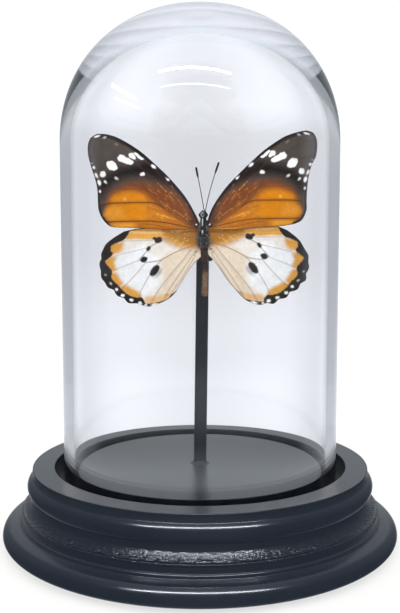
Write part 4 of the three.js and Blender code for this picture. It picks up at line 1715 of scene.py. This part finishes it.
# ------------------------------------------------------------------ post
@dataclass
class Post:
    """The black bar, the block on its top and the glue at its foot, in millimetres.

    Each row of the rounding gives a height above a bar's end and the share of its section there.
    The glue's profile gives radii and heights above the disc.
    """

    width: float = 3.5
    depth: float = 3.0
    foot: float = 20.35
    top: float = 77.3
    lean: float = math.radians(0.74)
    block: Place = (5.6, 2.6, 8.6)
    block_x: float = 0.65
    ease: float = 0.28
    rounding: tuple[Point, ...] = ((0.0, 0.85), (0.02, 0.93))
    levels: int = 30
    glue_profile: tuple[Point, ...] = (
        (0.0, -0.05), (2.9, -0.05), (2.75, 0.06), (2.3, 0.22), (2.0, 0.5), (1.85, 0.9), (0.0, 0.9),
    )
    glue_sides: int = 48

    def bar(self, name: str, low: Place, size: Place, lean: float) -> Piece:
        """A bar with eased edges that stands on its low centre point.

        Args:
            name: The piece's name.
            low: The middle of its lower end.
            size: Its width, depth and height.
            lean: Its lean towards +X in radians.

        Returns:
            The new piece.
        """
        half_x, half_y = size[0] / 2, size[1] / 2
        corners = []
        for sx, sy, first in ((1, 1, 0), (-1, 1, 90), (-1, -1, 180), (1, -1, 270)):
            centre = (sx * (half_x - self.ease), sy * (half_y - self.ease))
            corners.extend(arc(centre, self.ease, first, first + 90, 5))
        loop = np.array(corners)
        straight = np.linspace(1.0, size[2] - 1.0, self.levels)
        rounding = [*self.rounding, (self.ease, 1.0)]
        sections = [*rounding, *((z, 1.0) for z in straight),
                    *((size[2] - z, share) for z, share in rounding[::-1])]
        rings = [np.column_stack([loop * share, np.full(len(loop), z)]) for z, share in sections]
        points = np.vstack([[[0.0, 0.0, 0.0], [0.0, 0.0, size[2]]], *rings])
        points[:, 0] += math.tan(lean) * points[:, 2]
        points += np.array(low)
        return make_piece(name, points * MM, ringed_faces(len(rings), len(loop)))

    def build(self, paint: Finish) -> list[Piece]:
        """Make the bar, the block and the glue.

        Args:
            paint: Their finish.

        Returns:
            The finished pieces.
        """
        size = (self.width, self.depth, self.top - self.foot)
        bar = self.bar("post_bar", (0.0, 0.0, self.foot), size, self.lean)
        dress(bar, "black_wood", paint)
        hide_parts("post")
        block = self.bar("post_block", (self.block_x, 0.0, self.top), self.block, 0.0)
        dress(block, "black_wood", paint)
        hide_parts("mount_block")
        profile = [(radius, self.foot + height) for radius, height in self.glue_profile]
        glue = turned_piece("post_glue", profile, self.glue_sides)
        dress(glue, "black_wood", paint)
        return [bar, block, glue]


# ------------------------------------------------------------------ studio
@dataclass(frozen=True)
class Strip:
    """A lamp strip, in metres, that shows only in glossy surfaces.

    It shows in the base alone or in all else. A brightness of 1 is plain white.
    """

    name: str
    start: Place
    end: Place
    towards: Place
    brightness: float
    width: float
    for_base: bool
    tint: Colour = (0.86, 0.93, 1.0)

    def build(self, base: Piece) -> None:
        """Hang the strip.

        Args:
            base: The turned base.
        """
        first, last = Vector(self.start), Vector(self.end)
        along = (last - first).normalized()
        middle = (first + last) / 2
        back = middle - Vector(self.towards)
        back = (back - along * back.dot(along)).normalized()
        light = bpy.data.lights.new(self.name, "AREA")
        light.shape = "RECTANGLE"
        light.size, light.size_y = (last - first).length, self.width
        light.color = self.tint
        light.energy = self.brightness * math.pi * light.size * light.size_y
        lamp = bpy.data.objects.new(self.name, light)
        lamp.matrix_world = Matrix((along, back.cross(along), back)).transposed().to_4x4()
        lamp.location = middle
        lamp.visible_diffuse = False
        lamp.visible_camera = False
        bpy.context.scene.collection.objects.link(lamp)
        group = bpy.data.collections.new(f"{self.name}_reach")
        group.objects.link(base)
        group.collection_objects[0].light_linking.link_state = "INCLUDE" if self.for_base else "EXCLUDE"
        lamp.light_linking.receiver_collection = group


@dataclass
class Studio:
    """Floor, surrounding light, lamps and camera, in metres.

    The surround has a level of its own for each kind of ray: seen straight, through glass, in a
    reflection, after turns inside the glass, and as the light on matt surfaces. Fields that end in
    _span say between which parts of a direction, a vector of length 1, the light changes.
    """

    camera_place: Place = (0.0, -0.2472, 0.0879)
    camera_dip: float = 0.0941
    lens: float = 52.23
    sensor: float = 36.0
    near: float = 0.01
    floor_half: float = 3.0
    floor_colour: Colour = (0.30, 0.301, 0.302)
    floor_glow: Colour = (1.0, 0.998, 0.99)
    floor_strength: float = 0.65
    seen: float = 1.10
    seen_tint: Colour = (0.985, 0.99, 1.0)
    panels: float = 24.0
    panel_depth: float = 0.06
    eye_level: float = 0.05
    through_span: Point = (0.08, 0.17)
    through: Point = (0.92, 1.07)
    through_tint: Colour = (0.925, 0.94, 1.0)
    room_span: Point = (0.1, 0.85)
    room: Point = (0.20, 0.95)
    room_slope: Point = (0.5, 0.866)
    room_tint: Colour = (0.86, 0.93, 1.0)
    behind_span: Point = (0.86, 1.02)
    behind_fall: float = 0.35
    behind: float = 1.10
    dim_span: Point = (0.2, 0.55)
    dim: float = 0.35
    table_span: Point = (-0.275, -0.245)
    table: float = 1.10
    window_height: float = -0.20
    window_span: Point = (0.02, 0.06)
    window: float = 0.55
    beside_span: Point = (0.15, 0.40)
    beside_depth: Point = (-0.05, 0.10)
    beside_height: Point = (0.08, 0.15)
    beside: float = 0.50
    piped_span: Point = (0.05, 0.30)
    piped: Point = (0.55, 1.42)
    piped_tint: Colour = (0.935, 0.945, 1.0)
    lit: float = 1.48
    lit_tint: Colour = (1.0, 0.995, 0.98)
    most_bounces: int = 24
    gloss_bounces: int = 16
    strips: tuple[Strip, ...] = (
        Strip("strip_front", (-0.070, -0.098, 0.22), (0.054, -0.112, 0.22), (0.0, -0.035, 0.12),
              260.0, 0.0045, for_base=False),
        Strip("strip_left", (-0.117, -0.037, 0.182), (-0.124, -0.110, 0.182), (-0.018, -0.032, 0.118),
              31.2, 0.0045, for_base=False),
        Strip("strip_base", (-0.155, -0.175, 0.22), (0.150, -0.175, 0.22), (0.0, -0.05, 0.01),
              150.0, 0.010, for_base=True),
    )

    def lay_floor(self) -> None:
        """Lay a plain pale floor."""
        corners = ((-1, -1), (1, -1), (1, 1), (-1, 1))
        points = np.array([(x * self.floor_half, y * self.floor_half, 0.0) for x, y in corners])
        piece = make_piece("studio_floor", points, [np.array([[0, 1, 2, 3]])], smooth=False)
        sketch = Sketch("floor_white")
        sketch.set(Base_Color=(*self.floor_colour, 1.0), Roughness=1.0, Specular_IOR_Level=0.0,
                   Emission_Color=(*self.floor_glow, 1.0), Emission_Strength=self.floor_strength)
        piece.data.materials.append(sketch.material)
        piece.visible_glossy = False
        piece.visible_transmission = False

    def glow(self, nodes: Nodes, colour: Colour, strength: Value) -> Socket:
        """A background shader of one colour."""
        return nodes.add("ShaderNodeBackground", Color=(*colour, 1.0), Strength=strength).outputs[0]

    def direction(self, nodes: Nodes) -> list[Socket]:
        """The X, Y and Z of the direction looked in."""
        return nodes.axes(nodes.add("ShaderNodeTexCoord").outputs["Generated"])

    def panelled(self, nodes: Nodes) -> Socket:
        """The surround seen through glass: soft upright panels, a little dimmer at eye level."""
        x, y, z = self.direction(nodes)
        turn = nodes.times(nodes.reckon("ARCTAN2", x, y), self.panels)
        panel = nodes.times(nodes.reckon("COSINE", turn), -self.panel_depth)
        height = nodes.reckon("ABSOLUTE", nodes.reckon("SUBTRACT", z, self.eye_level))
        level = nodes.span(height, self.through_span, self.through)
        return self.glow(nodes, self.through_tint, nodes.reckon("ADD", level, panel))

    def mirrored(self, nodes: Nodes) -> Socket:
        """The surround in reflections: dim in front, lighter above, lightest straight behind.

        Clear glass also mirrors a pale table, a low window and bright walls beside the object.
        """
        x, y, z = self.direction(nodes)
        aside = nodes.reckon("ABSOLUTE", x)
        slope = nodes.reckon("ADD", nodes.times(y, self.room_slope[0]),
                             nodes.times(z, self.room_slope[1]))
        above = nodes.span(slope, self.room_span, self.room)
        fall = nodes.reckon("SUBTRACT", y, nodes.times(z, self.behind_fall))
        behind = nodes.span(fall, self.behind_span, (0.0, self.behind))
        dim = nodes.span(aside, self.dim_span, (1.0, self.dim))
        upper = nodes.times(nodes.reckon("MAXIMUM", above, behind), dim)
        table = nodes.span(z, self.table_span, (self.table, 0.0))
        gap = nodes.reckon("ABSOLUTE", nodes.reckon("SUBTRACT", z, self.window_height))
        window = nodes.span(gap, self.window_span, (self.window, 0.0))
        gate = nodes.reckon("MAXIMUM", nodes.span(y, self.beside_depth),
                            nodes.span(z, self.beside_height))
        beside = nodes.times(nodes.span(aside, self.beside_span, (0.0, self.beside)), gate)
        sharp = nodes.add("ShaderNodeLightPath").outputs["Is Singular Ray"]
        lower = nodes.reckon("MAXIMUM", nodes.reckon("ADD", table, window), beside)
        level = nodes.reckon("MAXIMUM", upper, nodes.times(lower, sharp))
        return self.glow(nodes, self.room_tint, level)

    def inside(self, nodes: Nodes) -> Socket:
        """The surround after turns inside the glass: bright where the light leaves steeply."""
        _, _, z = self.direction(nodes)
        level = nodes.span(nodes.reckon("ABSOLUTE", z), self.piped_span, self.piped)
        return self.glow(nodes, self.piped_tint, level)

    def surround(self) -> None:
        """Surround the object with soft light: a white backdrop, and a dimmer room in reflections."""
        world = bpy.data.worlds.new("soft_surround")
        world.use_nodes = True
        world.cycles.sampling_method = "NONE"
        nodes = Nodes(world.node_tree)
        nodes.tree.nodes.clear()
        path = nodes.add("ShaderNodeLightPath")
        shown = self.glow(nodes, self.seen_tint, self.seen)
        for depth, least, other in (
            ("Transmission Depth", 0.0, self.panelled(nodes)),
            ("Glossy Depth", 0.0, self.mirrored(nodes)),
            ("Glossy Depth", 1.0, self.inside(nodes)),
            ("Diffuse Depth", 0.0, self.glow(nodes, self.lit_tint, self.lit)),
        ):
            share = nodes.span(path.outputs[depth], (least, least + 1.0))
            shown = nodes.add("ShaderNodeMixShader", share, shown, other).outputs[0]
        nodes.add("ShaderNodeOutputWorld", shown)
        bpy.context.scene.world = world

    def set_camera(self) -> None:
        """Set up the camera."""
        lens = bpy.data.cameras.new("camera")
        lens.lens = self.lens
        lens.sensor_width = self.sensor
        lens.clip_start = self.near
        viewer = bpy.data.objects.new("camera", lens)
        viewer.location = self.camera_place
        viewer.rotation_euler = (math.pi / 2 - self.camera_dip, 0.0, 0.0)
        bpy.context.scene.collection.objects.link(viewer)
        bpy.context.scene.camera = viewer

    def build(self, base: Piece) -> None:
        """Set up the whole studio.

        Args:
            base: The turned base, which has a lamp strip of its own.
        """
        self.lay_floor()
        self.surround()
        for strip in self.strips:
            strip.build(base)
        self.set_camera()
        scene = bpy.context.scene
        scene.view_settings.view_transform = "Standard"
        # Light turns many times inside the thick crown before it leaves.
        scene.cycles.max_bounces = self.most_bounces
        scene.cycles.glossy_bounces = self.gloss_bounces
        scene.cycles.transmission_bounces = self.most_bounces


def main() -> None:
    """Build every piece in order; each one logs its face count."""
    logging.basicConfig(level=logging.INFO, format="%(message)s")
    paint = SatinPaint().build()
    skin = InsectSkin().build()
    Studio().build(Base().build(paint))
    GlassDome().build(ClearGlass().build())
    Post().build(SatinPaint("post_paint").build())
    above, below = FOREWING_ABOVE.build(), FOREWING_BELOW.build()
    for wing in forewings():
        wing.build(above, below)
    above, below = HINDWING_ABOVE.build(), HINDWING_BELOW.build()
    for wing in hindwings():
        wing.build(above, below)
    body = ButterflyBody()
    torso = body.build(skin)
    for side in Side:
        body.feeler(side, skin)
    hair = FineHair().build()
    Fur("waist_fur", density=4.5e7, length=0.0009, low=0.0812, high=0.0848, seed=7).build(torso, hair)
    Fur("shoulder_fur", density=1.6e7, length=0.0005, low=0.0848, high=0.0880, seed=11).build(torso, hair)


if __name__ == "__main__":
    main()
